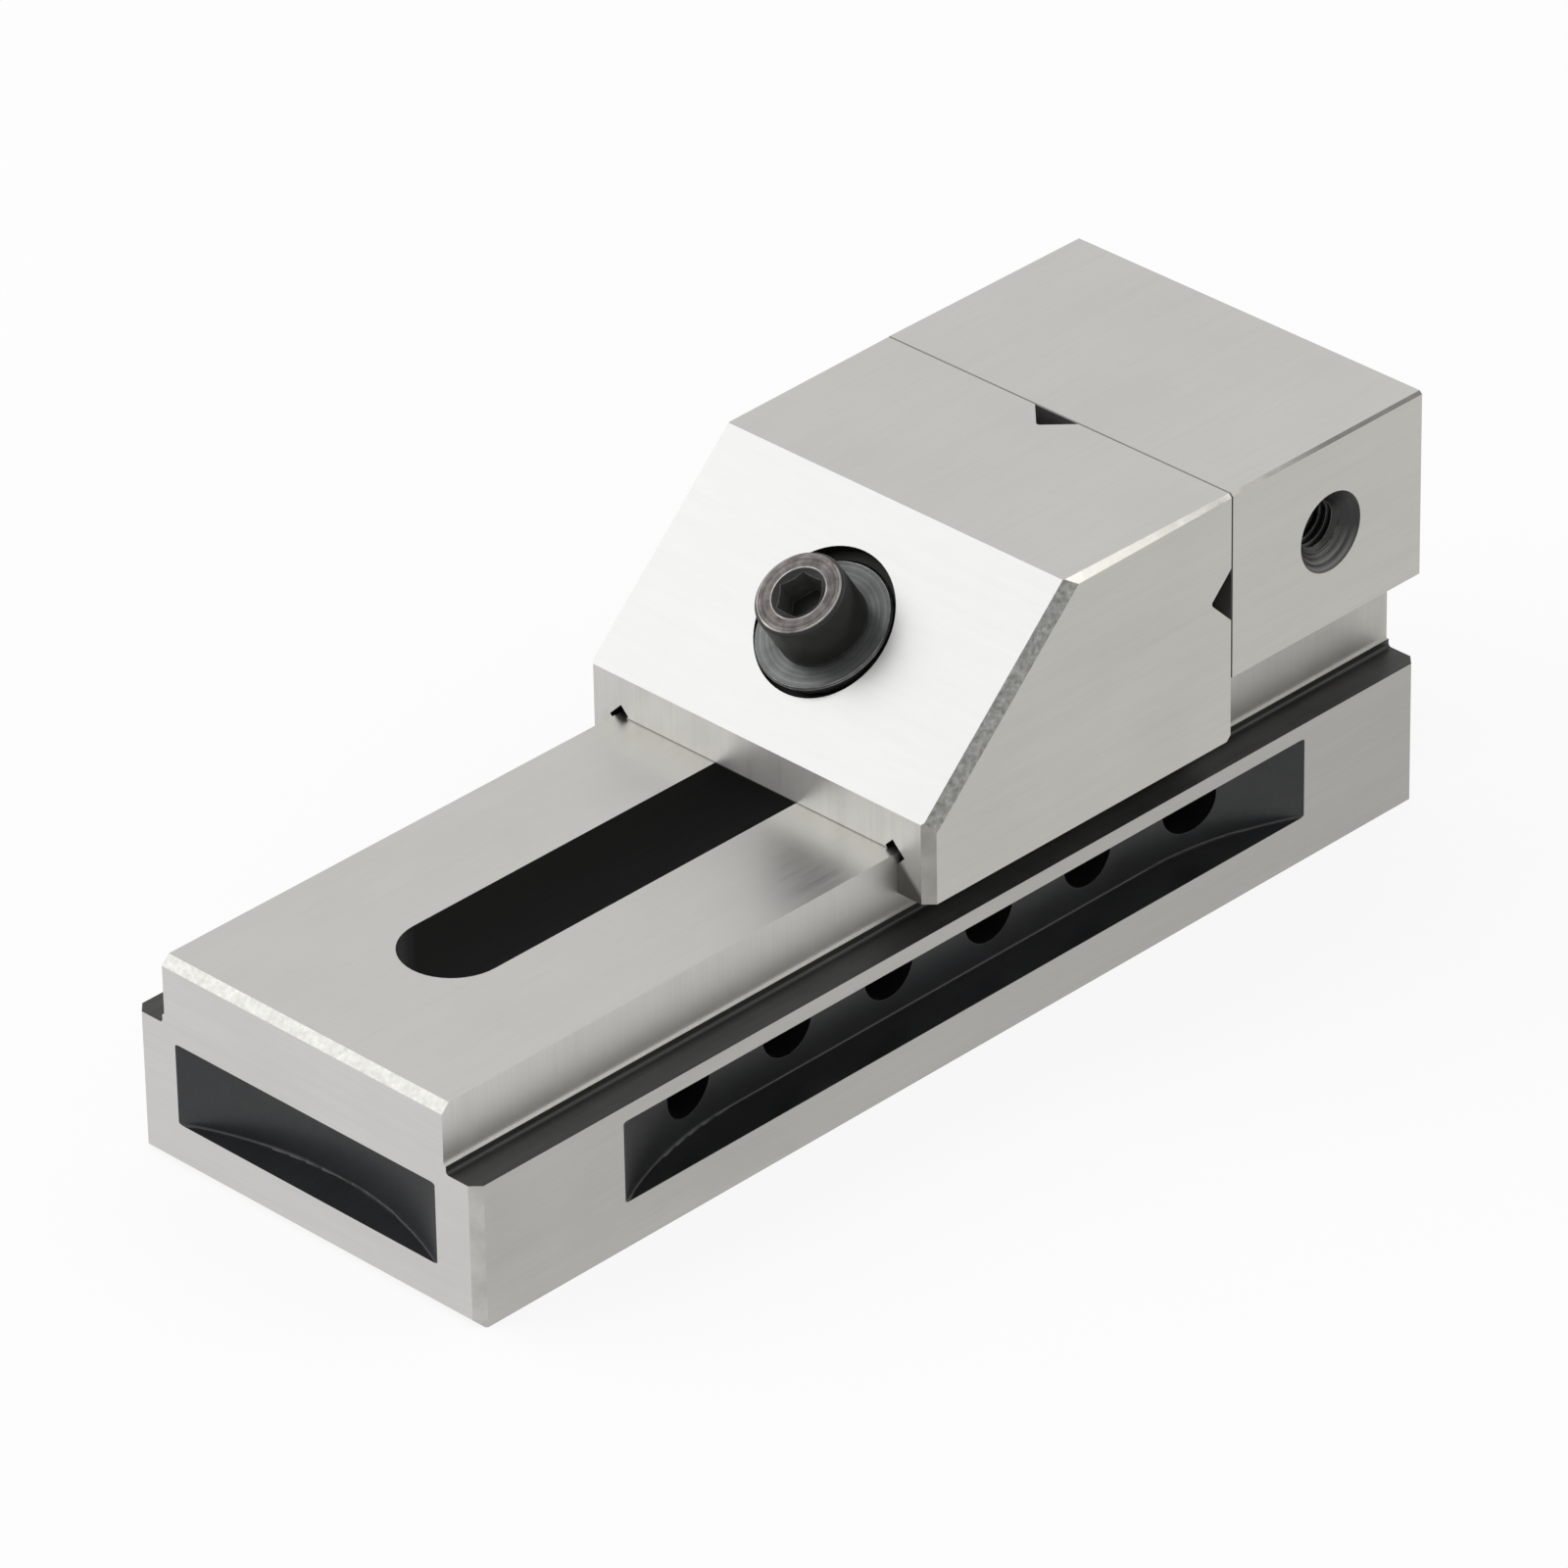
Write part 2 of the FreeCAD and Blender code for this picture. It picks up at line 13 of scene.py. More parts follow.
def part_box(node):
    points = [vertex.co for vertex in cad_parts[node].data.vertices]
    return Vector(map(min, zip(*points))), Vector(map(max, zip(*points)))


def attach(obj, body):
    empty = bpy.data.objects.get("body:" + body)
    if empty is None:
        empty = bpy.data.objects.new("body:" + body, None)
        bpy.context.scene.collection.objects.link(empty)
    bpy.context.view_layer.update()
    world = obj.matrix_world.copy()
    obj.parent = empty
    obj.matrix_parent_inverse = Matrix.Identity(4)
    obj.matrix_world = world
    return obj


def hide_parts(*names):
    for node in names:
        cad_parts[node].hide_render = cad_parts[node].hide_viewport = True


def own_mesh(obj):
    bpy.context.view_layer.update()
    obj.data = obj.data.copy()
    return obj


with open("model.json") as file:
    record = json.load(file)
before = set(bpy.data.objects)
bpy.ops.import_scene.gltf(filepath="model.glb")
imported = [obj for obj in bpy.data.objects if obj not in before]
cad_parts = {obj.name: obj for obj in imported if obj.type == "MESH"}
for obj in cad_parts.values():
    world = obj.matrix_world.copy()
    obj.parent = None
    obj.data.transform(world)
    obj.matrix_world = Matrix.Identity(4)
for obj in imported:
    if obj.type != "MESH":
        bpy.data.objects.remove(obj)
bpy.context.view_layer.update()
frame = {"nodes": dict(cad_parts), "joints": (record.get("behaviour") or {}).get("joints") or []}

# The looks of a ground toolmaker's vise. Metres, in the frame of the solids: +X from the front end
# towards the fixed jaw, +Z up, and the vise standing on z = 0. MM is one millimetre.

MM = 0.001
LEDGE_TOP = 21.4 * MM
RAIL_TOP = 31.5 * MM
RAIL_HALF_WIDTH = 25.75 * MM
SIDE = 31.5 * MM
HALF_LENGTH = 89.0 * MM
JAW_FACE = 51.6 * MM
JAW_TOP = 63.0 * MM
EDGE_BREAK = 0.15 * MM
HOLE_PLACE = 71.0 * MM
HOLE_HEIGHT = 49.0 * MM
SMOOTH_ANGLE = math.radians(30)
CLOSE = 0.01 * MM
DOUBLES = 0.001 * MM
PLANE_REACH = 0.03 * MM
PLANE_COSINE = 0.9995
LEANING = 0.3
CUTTER_SIDES = 96
# The sockets of a Mix node set to colours: its factor and two colours, and its result.
MIX_INPUTS = (0, 6, 7)
MIX_RESULT = 2
Piece = bpy.types.Object
Socket = bpy.types.NodeSocket
log = logging.getLogger("vise")


def srgb(red: int, green: int, blue: int) -> tuple[float, float, float, float]:
    """Gives a colour written as 0 to 255 on screen in the linear values that shaders take.

    Args:
        red: Red as seen on screen.
        green: Green as seen on screen.
        blue: Blue as seen on screen.

    Returns:
        The linear colour with full alpha.
    """
    def linear(value: int) -> float:
        """Gives one channel in linear light."""
        share = value / 255
        return share / 12.92 if share <= 0.04045 else ((share + 0.055) / 1.055) ** 2.4
    return linear(red), linear(green), linear(blue), 1.0


class Direction(Enum):
    """The way that grinding or cutting lines run, as how much a pattern is squeezed on each axis."""

    ALONG_X = (0.03, 1.0, 1.0)
    ALONG_Y = (1.0, 0.03, 1.0)
    ALONG_Z = (1.0, 1.0, 0.03)
    NONE = (1.0, 1.0, 1.0)


# Shader nodes, and the groups that finishes share

class Wiring:
    """A node tree with short ways to add and join nodes."""

    def __init__(self, tree: bpy.types.NodeTree) -> None:
        """Keeps the material's or group's node tree that the nodes go in."""
        self.tree = tree

    def add(self, kind: str, settings: Optional[dict] = None, *values: object,
            **named: object) -> bpy.types.Node:
        """Adds a node, sets its properties, and sets or joins its inputs.

        Args:
            kind: The node's type name without its ShaderNode prefix.
            settings: Properties of the node itself.
            values: Values or output sockets for its first inputs, in order.
            named: The same by socket name, with spaces as underscores.

        Returns:
            The new node.
        """
        node = self.tree.nodes.new("ShaderNode" + kind)
        for name, value in (settings or {}).items():
            setattr(node, name, value)
        for socket, value in zip(node.inputs, values):
            self.feed(socket, value)
        for name, value in named.items():
            self.feed(node.inputs[name.replace("_", " ")], value)
        return node

    def feed(self, socket: Socket, value: object) -> None:
        """Joins an output to a socket, or sets the socket's own value.

        Args:
            socket: The input socket.
            value: An output socket, or a plain value.
        """
        if isinstance(value, Socket):
            self.tree.links.new(value, socket)
        else:
            socket.default_value = value

    def math(self, operation: str, *values: object) -> Socket:
        """Works out one number from others, given as numbers or output sockets."""
        return self.add("Math", {"operation": operation}, *values).outputs[0]

    def vector(self, operation: str, *values: object) -> bpy.types.Node:
        """Adds a node that works out a vector, or a number from vectors."""
        return self.add("VectorMath", {"operation": operation}, *values)

    def blend(self, factor: Socket, first: bpy.types.Node, second: bpy.types.Node) -> Socket:
        """Blends two shaders, from the first at factor 0 to the second at 1."""
        return self.add("MixShader", None, factor, first.outputs[0], second.outputs[0]).outputs[0]

    def mix(self, factor: object, first: object, second: object) -> Socket:
        """Mixes two colours.

        Args:
            factor: 0 for the first colour, 1 for the second.
            first: The first colour.
            second: The second colour.

        Returns:
            The result's socket.
        """
        node = self.add("Mix", {"data_type": "RGBA"})
        for index, value in zip(MIX_INPUTS, (factor, first, second)):
            self.feed(node.inputs[index], value)
        return node.outputs[MIX_RESULT]

    def remap(self, value: Socket, low: float, high: float, new_low: float = 0.0,
              new_high: float = 1.0) -> Socket:
        """Carries a value from the range low to high to the new range, and keeps it in that."""
        return self.add("MapRange", None, value, low, high, new_low, new_high).outputs[0]


def start_wiring(owner: bpy.types.ID) -> Wiring:
    """Empties the node tree of a material or world.

    Args:
        owner: The material or world.

    Returns:
        The tree's wiring.
    """
    owner.use_nodes = True
    owner.node_tree.nodes.clear()
    return Wiring(owner.node_tree)


class SharedGroups:
    """The effects that several finishes share, each built once."""

    def __init__(self) -> None:
        """Builds every group."""
        self.streaks = self._streaks()
        self.mottle = self._mottle()
        self.edge = self._edge()
        self.rings = self._rings()

    @staticmethod
    def _start(name: str, inputs: dict, outputs: Sequence[str]) -> tuple:
        """Starts a group with a vector to work on, its other inputs and its outputs.

        Args:
            name: The group's name.
            inputs: Each other input and its default, a vector or a number.
            outputs: The name of each output, all of them numbers.

        Returns:
            The group, its wiring, its input sockets and its output node.
        """
        group = bpy.data.node_groups.new(name, "ShaderNodeTree")
        group.interface.new_socket("Vector", in_out="INPUT", socket_type="NodeSocketVector")
        for label, default in inputs.items():
            kind = "NodeSocketVector" if isinstance(default, tuple) else "NodeSocketFloat"
            group.interface.new_socket(label, in_out="INPUT", socket_type=kind).default_value = default
        for label in outputs:
            group.interface.new_socket(label, in_out="OUTPUT", socket_type="NodeSocketFloat")
        given = group.nodes.new("NodeGroupInput").outputs
        return group, Wiring(group), given, group.nodes.new("NodeGroupOutput")

    def _streaks(self) -> bpy.types.NodeTree:
        """Builds the fine lines that a wheel or cutter leaves, long on one axis.

        Returns:
            The group.
        """
        group, wire, given, out = self._start(
            "Tool lines", {"Squeeze": (1.0, 1.0, 1.0), "Fineness": 2000.0}, ["Lines"])
        coarseness, fine_share = 0.22, 0.65
        squeezed = wire.vector("MULTIPLY", given["Vector"], given["Squeeze"]).outputs[0]
        fine = wire.add("TexNoise", Vector=squeezed, Scale=given["Fineness"], Detail=3.0, Roughness=0.6)
        coarse = wire.add("TexNoise", Vector=squeezed, Detail=2.0,
                          Scale=wire.math("MULTIPLY", given["Fineness"], coarseness))
        both = wire.math("ADD", wire.math("MULTIPLY", fine.outputs[0], fine_share),
                         wire.math("MULTIPLY", coarse.outputs[0], 1.0 - fine_share))
        wire.feed(out.inputs["Lines"], wire.remap(both, low=0.3, high=0.7))
        return group

    def _mottle(self) -> bpy.types.NodeTree:
        """Builds soft clouds of lighter and darker metal, with a few small specks.

        Returns:
            The group.
        """
        group, wire, given, out = self._start("Mottling", {"Size": 60.0}, ["Clouds", "Specks"])
        speck_fineness = 22.0
        clouds = wire.add("TexNoise", Vector=given["Vector"], Scale=given["Size"], Detail=4.0,
                          Roughness=0.55)
        wire.feed(out.inputs["Clouds"], wire.remap(clouds.outputs[0], low=0.3, high=0.7))
        grain = wire.add("TexNoise", Vector=given["Vector"], Detail=2.0,
                         Scale=wire.math("MULTIPLY", given["Size"], speck_fineness))
        wire.feed(out.inputs["Specks"], wire.remap(grain.outputs[0], low=0.6, high=0.72))
        return group

    def _edge(self) -> bpy.types.NodeTree:
        """Finds where an edge is near, from how far a rounded normal turns from the true one, for edge wear
        and a painted highlight.

        Returns:
            The group.
        """
        group, wire, given, out = self._start("Edge wear and painted highlight", {"Reach": 0.3 * MM}, ["Edge"])
        rounded = wire.add("Bevel", {"samples": 4}, Radius=given["Reach"]).outputs[0]
        dot = wire.vector("DOT_PRODUCT", rounded, wire.add("NewGeometry").outputs["Normal"])
        turned = wire.remap(dot.outputs["Value"], low=0.995, high=0.85)
        patchy = wire.add("TexNoise", Vector=given["Vector"], Scale=900.0, Detail=2.0)
        patchy_share = wire.remap(patchy.outputs[0], low=0.3, high=0.6, new_low=0.35)
        wire.feed(out.inputs["Edge"], wire.math("MULTIPLY", turned, patchy_share))
        return group

    def _rings(self) -> bpy.types.NodeTree:
        """Builds the uneven rings that turning leaves round the Z axis of its vector.

        Returns:
            The group.
        """
        group, wire, given, out = self._start("Turning rings", {"Fineness": 3000.0}, ["Lines"])
        flat = wire.vector("MULTIPLY", given["Vector"], (1.0, 1.0, 0.0)).outputs[0]
        radius = wire.vector("LENGTH", flat).outputs["Value"]
        bands = wire.add("TexNoise", {"noise_dimensions": "1D"}, W=radius, Scale=given["Fineness"],
                         Detail=2.0, Roughness=0.6)
        wire.feed(out.inputs["Lines"], wire.remap(bands.outputs[0], low=0.35, high=0.65))
        return group


@dataclass(frozen=True)
class Turning:
    """The axis that a turned surface was turned on.

    Attributes:
        centre: A point on the axis.
        turn: The turn that lays +Z on it.
    """

    centre: tuple
    turn: tuple


@dataclass(frozen=True)
class MetalFinish:
    """A steel surface: its colour, gloss, tool lines, clouds, and edges lightened by wear and a painted
    highlight.

    Attributes:
        name: What the finish is called.
        colour: The surface's main colour.
        cloud_colour: What it drifts to in soft clouds.
        edge_colour: What shows at edges, as wear and as a painted highlight.
        metallic: 1 for bare steel, 0 for an oxide skin.
        roughness: The mean roughness.
        roughness_swing: How far tool lines move the roughness.
        lines: The way that straight tool lines run.
        turning: The axis of turning rings, which take the place of straight lines.
        fineness: How close together the lines are.
        line_depth: Their depth in metres.
        line_tone: How strongly the lines show, 0 to 1.
        line_colour: The lines' colour.
        lit_line_heights: Heights between which the lines come in as a painted highlight, the second at full
            strength.
        clouds: How strongly the clouds show, 0 to 1.
        cloud_size: The scale of the clouds, higher for smaller ones.
        specks: How strongly small specks show, 0 to 1.
        edge: How strongly the edge wear and painted highlight show, 0 to 1.
        edge_reach: How far from the edge the wear and painted highlight reach, in metres.
        specular: How strongly an oxide skin reflects, 0.5 for the usual share.
        rear_shade_colour: What the colour drifts to towards the rear of the vise, if it drifts: painted
            light and shade, darker towards the rear.
        drift: Places along the vise between which it drifts.
        soiled_and_shaded: Whether soil lies along the rail's top, and a painted shadow in the corners below
            it.
    """

    name: str
    colour: tuple
    cloud_colour: tuple
    edge_colour: tuple = srgb(215, 214, 208)
    metallic: float = 1.0
    roughness: float = 0.34
    roughness_swing: float = 0.05
    lines: Direction = Direction.ALONG_X
    fineness: float = 2600.0
    line_depth: float = 0.002 * MM
    line_tone: float = 0.05
    line_colour: tuple = (0.0, 0.0, 0.0, 1.0)
    lit_line_heights: Optional[tuple] = None
    turning: Optional[Turning] = None
    clouds: float = 0.5
    cloud_size: float = 45.0
    specks: float = 0.0
    edge: float = 0.0
    edge_reach: float = 0.2 * MM
    specular: float = 0.5
    rear_shade_colour: Optional[tuple] = None
    drift: tuple = (-HALF_LENGTH, HALF_LENGTH)
    soiled_and_shaded: bool = False

    def build(self, groups: SharedGroups) -> bpy.types.Material:
        """Builds the material.

        Args:
            groups: The shared effects.

        Returns:
            The new material.
        """
        material = bpy.data.materials.new(self.name)
        wire = start_wiring(material)
        place = wire.add("TexCoord").outputs["Object"]
        axes = wire.add("SeparateXYZ", Vector=place).outputs
        lines = self.tool_lines(wire, groups, place)
        mottle = wire.add("Group", {"node_tree": groups.mottle}, Vector=place, Size=self.cloud_size)
        base = self.colour
        # Painted light and shade: the colour darkens along X towards the rear.
        if self.rear_shade_colour:
            base = wire.mix(wire.remap(axes["X"], *self.drift), base, self.rear_shade_colour)
        clouded = wire.mix(wire.math("MULTIPLY", mottle.outputs["Clouds"], self.clouds),
                           base, self.cloud_colour)
        tone = wire.math("MULTIPLY", lines, self.line_tone)
        # Lines limited to a band of heights: a painted highlight on the lower part of a surface.
        if self.lit_line_heights:
            tone = wire.math("MULTIPLY", tone, wire.remap(axes["Z"], *self.lit_line_heights))
        colour = wire.mix(tone, clouded, self.line_colour)
        if self.specks > 0:
            colour = wire.mix(wire.math("MULTIPLY", mottle.outputs["Specks"], self.specks),
                              colour, self.cloud_colour)
        # Edges take the edge colour: wear, and a painted highlight on thread crests, rims and pocket edges.
        if self.edge > 0:
            edge = wire.add("Group", {"node_tree": groups.edge}, Vector=place, Reach=self.edge_reach)
            colour = wire.mix(wire.math("MULTIPLY", edge.outputs[0], self.edge), colour, self.edge_colour)
        # Soil along the joint, and a painted shadow in the corners beside the rail.
        if self.soiled_and_shaded:
            colour = self.soil_and_shadow(wire, axes, colour)
        roughness = wire.remap(lines, 0.0, 1.0, self.roughness - self.roughness_swing,
                               self.roughness + self.roughness_swing)
        bump = wire.add("Bump", Height=lines, Distance=self.line_depth, Strength=1.0)
        shader = wire.add("BsdfPrincipled", Base_Color=colour, Metallic=self.metallic,
                          Roughness=roughness, Normal=bump.outputs[0],
                          Specular_IOR_Level=self.specular)
        wire.add("OutputMaterial", Surface=shader.outputs[0])
        return material

    @staticmethod
    def soil_and_shadow(wire: Wiring, axes: bpy.types.NodeOutputs, colour: Socket) -> Socket:
        """Lays soil in a thin line where the jaw meets the rail, and a painted shadow in the corners beside
        the rail.

        Args:
            wire: The material's wiring.
            axes: The surface's own X, Y and Z.
            colour: The colour without soil or painted shadow.

        Returns:
            The socket of the colour with soil and painted shadow.
        """
        away = wire.math("ABSOLUTE", wire.math("SUBTRACT", axes["Z"], SOIL_AND_SHADOW_HEIGHT))
        line = wire.remap(away, SOIL_REACH - SOIL_BLUR, SOIL_REACH, SOIL_STRENGTH, 0.0)
        sideways = wire.math("ABSOLUTE", axes["Y"])
        on_rail = wire.math("LESS_THAN", sideways, RAIL_HALF_WIDTH)
        colour = wire.mix(wire.math("MULTIPLY", line, on_rail), colour, SOIL_AND_SHADOW)
        # Painted shadow: beside the rail, the colour darkens below a line that falls from the rail's top
        # edge.
        below = wire.math("ADD", axes["Z"], wire.math("SUBTRACT", sideways, RAIL_HALF_WIDTH))
        corner = wire.remap(below, SOIL_AND_SHADOW_HEIGHT - CORNER_SHADOW_REACH, SOIL_AND_SHADOW_HEIGHT,
                            CORNER_SHADOW_STRENGTH, 0.0)
        off_rail = wire.math("SUBTRACT", 1.0, on_rail)
        return wire.mix(wire.math("MULTIPLY", corner, off_rail), colour, SOIL_AND_SHADOW)

    def tool_lines(self, wire: Wiring, groups: SharedGroups, place: Socket) -> Socket:
        """Adds the tool lines, straight or turned.

        Args:
            wire: The material's wiring.
            groups: The shared effects.
            place: The surface's own coordinates.

        Returns:
            The socket of the lines' strength.
        """
        if self.turning is None:
            return wire.add("Group", {"node_tree": groups.streaks}, Vector=place,
                            Squeeze=self.lines.value, Fineness=self.fineness).outputs[0]
        centred = wire.add("Mapping", {"vector_type": "TEXTURE"}, Vector=place,
                           Location=self.turning.centre, Rotation=self.turning.turn)
        return wire.add("Group", {"node_tree": groups.rings}, Vector=centred.outputs[0],
                        Fineness=self.fineness).outputs[0]


@dataclass(frozen=True)
class OxideFinish(MetalFinish):
    """Steel under black oxide."""

    metallic: float = 0.0


@dataclass(frozen=True)
class MilledFinish(MetalFinish):
    """A chamfer or corner without straight lines, clouded as a cutter or file leaves it."""

    lines: Direction = Direction.NONE
    clouds: float = 0.9
    roughness: float = 0.42


def screw_line() -> tuple[Vector, Matrix]:
    """Finds the screw's line.

    Returns:
        The ball centre, and the turn that lays +Z on the line, towards the head.
    """
    spin = next(joint for joint in frame["joints"] if joint["name"] == "screw_spin")
    out = -Vector(spin["axis"]).normalized()
    return Vector(spin["pos_m"]), Matrix.Rotation(math.atan2(out.x, out.z), 3, "Y")


WHITE = (1.0, 1.0, 1.0, 1.0)
STEEL = srgb(194, 193, 190)
STEEL_CLOUD = srgb(187, 186, 182)
# Colour of the soil along the joint and of the painted shadow beside the rail.
SOIL_AND_SHADOW = srgb(70, 66, 60)
SOIL_AND_SHADOW_HEIGHT = RAIL_TOP + 0.04 * MM
SOIL_BLUR = 0.06 * MM
SOIL_REACH = 0.14 * MM
SOIL_STRENGTH = 0.6
# The next two set the painted shadow in the corners beside the rail.
CORNER_SHADOW_REACH = 1.2 * MM
CORNER_SHADOW_STRENGTH = 0.8
SCREW_CENTRE, SCREW_TURN = screw_line()
SCREW_TURNING = Turning(tuple(SCREW_CENTRE), tuple(SCREW_TURN.to_euler()))
HOLE_TURNING = Turning((HOLE_PLACE, 0.0, HOLE_HEIGHT), (math.pi / 2, 0.0, 0.0))


class Finish(Enum):
    """Every finish on the vise."""

    # The ground faces below are one steel, made lighter or darker face by face as painted light and shade.
    TOP = MetalFinish("Ground top", STEEL, STEEL_CLOUD, line_tone=0.04)
    SIDE = MetalFinish("Ground side", srgb(190, 189, 184), srgb(182, 181, 175), fineness=2200.0)
    BASE_SIDE = MetalFinish(
        "Ground base side", srgb(182, 181, 177), srgb(172, 171, 166), fineness=2200.0,
        rear_shade_colour=srgb(166, 165, 161))
    END = MetalFinish("Ground end", srgb(206, 205, 203), srgb(198, 197, 194), lines=Direction.ALONG_Y)
    # The jaw front has soil along the joint and a painted shadow in the corners beside the rail.
    JAW_FRONT = MetalFinish(
        "Ground jaw front", srgb(210, 209, 205), srgb(196, 194, 190), lines=Direction.ALONG_Z,
        line_tone=0.06, fineness=2400.0, roughness=0.5, cloud_size=90.0, metallic=0.85, soiled_and_shaded=True)
    SLOPE = MetalFinish(
        "Ground slope", srgb(169, 169, 168), srgb(166, 166, 165), lines=Direction.ALONG_Y, line_tone=0.02,
        line_depth=0.001 * MM, roughness=0.38, roughness_swing=0.012, fineness=5200.0, clouds=0.35)
    RAIL_SIDE = MetalFinish(
        "Ground rail side", srgb(214, 213, 209), srgb(205, 204, 199), roughness=0.48,
        lines=Direction.ALONG_Z, fineness=2200.0, rear_shade_colour=srgb(170, 169, 164))
    STEP = MetalFinish("Ground step", srgb(214, 214, 211), srgb(196, 195, 191))
    GROOVE = MetalFinish("Ground groove", srgb(212, 211, 206), srgb(190, 189, 184))
    PIN = MetalFinish(
        "Hardened pin", srgb(168, 167, 163), srgb(140, 139, 135), lines=Direction.NONE, roughness=0.28)
    SPRING = MetalFinish(
        "Spring wire", srgb(120, 118, 114), srgb(96, 94, 90), lines=Direction.NONE, roughness=0.32)
    CHAMFER = MilledFinish(
        "Milled chamfer", srgb(180, 180, 176), srgb(160, 159, 155), cloud_size=1100.0, specks=0.3)
    CREAM_CHAMFER = MilledFinish(
        "Filed chamfer", srgb(229, 227, 220), srgb(211, 209, 202), clouds=0.8, cloud_size=330.0,
        rear_shade_colour=srgb(170, 168, 160), drift=(22 * MM, 50 * MM))
    GREY_CHAMFER = MilledFinish(
        "Filed grey chamfer", srgb(186, 183, 176), srgb(128, 126, 121), clouds=0.5, cloud_size=260.0,
        roughness=0.45, rear_shade_colour=srgb(112, 112, 108), drift=(53 * MM, 70 * MM))
    SLOPE_SIDE = MilledFinish(
        "Milled slope side", srgb(164, 164, 160), srgb(112, 112, 108), cloud_size=1300.0, roughness=0.44,
        specks=0.4)
    CORNER = MilledFinish("Milled corner", srgb(194, 192, 188), srgb(174, 172, 167), cloud_size=260.0)
    JAW_CORNER = MilledFinish(
        "Milled jaw corner", srgb(164, 162, 157), srgb(146, 144, 139), cloud_size=260.0, roughness=0.44)
    # Bright bands at the rims of the screw's face: wear and a painted highlight.
    SCREW_EDGE = MilledFinish(
        "Screw edge wear and painted highlight", srgb(160, 157, 154), srgb(78, 76, 74), clouds=1.0, cloud_size=300.0,
        roughness=0.36)
    SCREW_RING = MetalFinish(
        "Worn screw face", srgb(112, 107, 105), srgb(66, 63, 62), clouds=1.0, cloud_size=520.0,
        roughness=0.4, specks=0.5, turning=SCREW_TURNING, line_tone=0.25)
    WASHER = MetalFinish(
        "Turned black washer", srgb(104, 105, 105), srgb(72, 73, 73), metallic=0.6, roughness=0.36,
        clouds=0.8, cloud_size=260.0, specks=0.3, turning=SCREW_TURNING, fineness=1400.0, line_tone=0.4,
        edge_colour=srgb(196, 195, 192), edge=0.9, edge_reach=0.24 * MM)
    THREAD = MetalFinish(
        "Black thread", srgb(24, 24, 23), srgb(40, 40, 38), metallic=0.2, roughness=0.32, clouds=0.6,
        cloud_size=300.0, lines=Direction.NONE, edge_colour=srgb(176, 176, 172), edge=0.85,
        edge_reach=0.14 * MM)
    SOCKET = MetalFinish(
        "Black hex socket", srgb(92, 92, 90), srgb(60, 60, 59), metallic=0.2, roughness=0.34, clouds=0.8,
        cloud_size=500.0, lines=Direction.NONE)
    SEAM_SIDE = MetalFinish("Seam on the sides", srgb(66, 65, 62), srgb(54, 53, 50), metallic=0.2)
    # The seam's top is a lighter copy of its sides: a painted highlight.
    SEAM_TOP = OxideFinish(
        "Seam on the tops with painted highlight", srgb(142, 141, 137), srgb(128, 127, 123), roughness=0.6, specular=0.2)
    BLACK = OxideFinish(
        "Black oxide", srgb(40, 40, 37), srgb(52, 52, 48), roughness=0.42, roughness_swing=0.08,
        line_tone=0.3, clouds=0.6, cloud_size=120.0, specular=0.4, edge_colour=srgb(120, 118, 112),
        edge=0.35, rear_shade_colour=srgb(22, 22, 20))
    POCKET = OxideFinish(
        "Black oxide pocket", srgb(40, 41, 43), srgb(50, 51, 54), roughness=0.36,
        rear_shade_colour=srgb(26, 27, 28), drift=(-83 * MM, -62 * MM), line_tone=0.3, cloud_size=90.0,
        specular=0.4, edge_colour=srgb(118, 116, 110), edge=0.6)
    HOLE = OxideFinish(
        "Black oxide hole", srgb(18, 18, 17), srgb(26, 26, 24), roughness=0.5, line_tone=0.2, specular=0.15)
    # The countersink's turning rings are light and show only on its lower part: real turning marks with a
    # painted highlight.
    SINK = OxideFinish(
        "Black oxide countersink", srgb(26, 26, 26), srgb(42, 42, 41), roughness=0.4, specular=0.45,
        cloud_size=200.0, turning=HOLE_TURNING, fineness=2800.0, line_tone=0.7,
        line_colour=srgb(128, 127, 124), lit_line_heights=(47.8 * MM, 44.5 * MM))
    SCREW_SIDE = OxideFinish(
        "Black screw side", srgb(24, 24, 23), srgb(38, 38, 36), roughness=0.38, clouds=0.8,
        cloud_size=300.0, lines=Direction.NONE, specular=0.35, edge_colour=srgb(168, 164, 158), edge=0.8,
        edge_reach=0.22 * MM)


class Paint:
    """The materials of all finishes, built once each."""

    def __init__(self) -> None:
        """Builds the shared groups and every finish."""
        groups = SharedGroups()
        self.materials = {finish: finish.value.build(groups) for finish in Finish}

    def __getitem__(self, finish: Finish) -> bpy.types.Material:
        """Gives a finish's material."""
        return self.materials[finish]


# Dressing the solids

@dataclass(frozen=True)
class Region:
    """Faces that lie in one plane of a solid.

    Attributes:
        normal: The plane's outward direction.
        reach: Its distance from the origin along that direction, in metres.
        finish: The finish of those faces.
    """

    normal: tuple
    reach: float
    finish: Finish

    def holds(self, normal: Vector, centre: Vector) -> bool:
        """Tells whether a face with that normal and centre lies in the plane."""
        direction = Vector(self.normal).normalized()
        return normal.dot(direction) > PLANE_COSINE and abs(centre.dot(direction) - self.reach) < PLANE_REACH


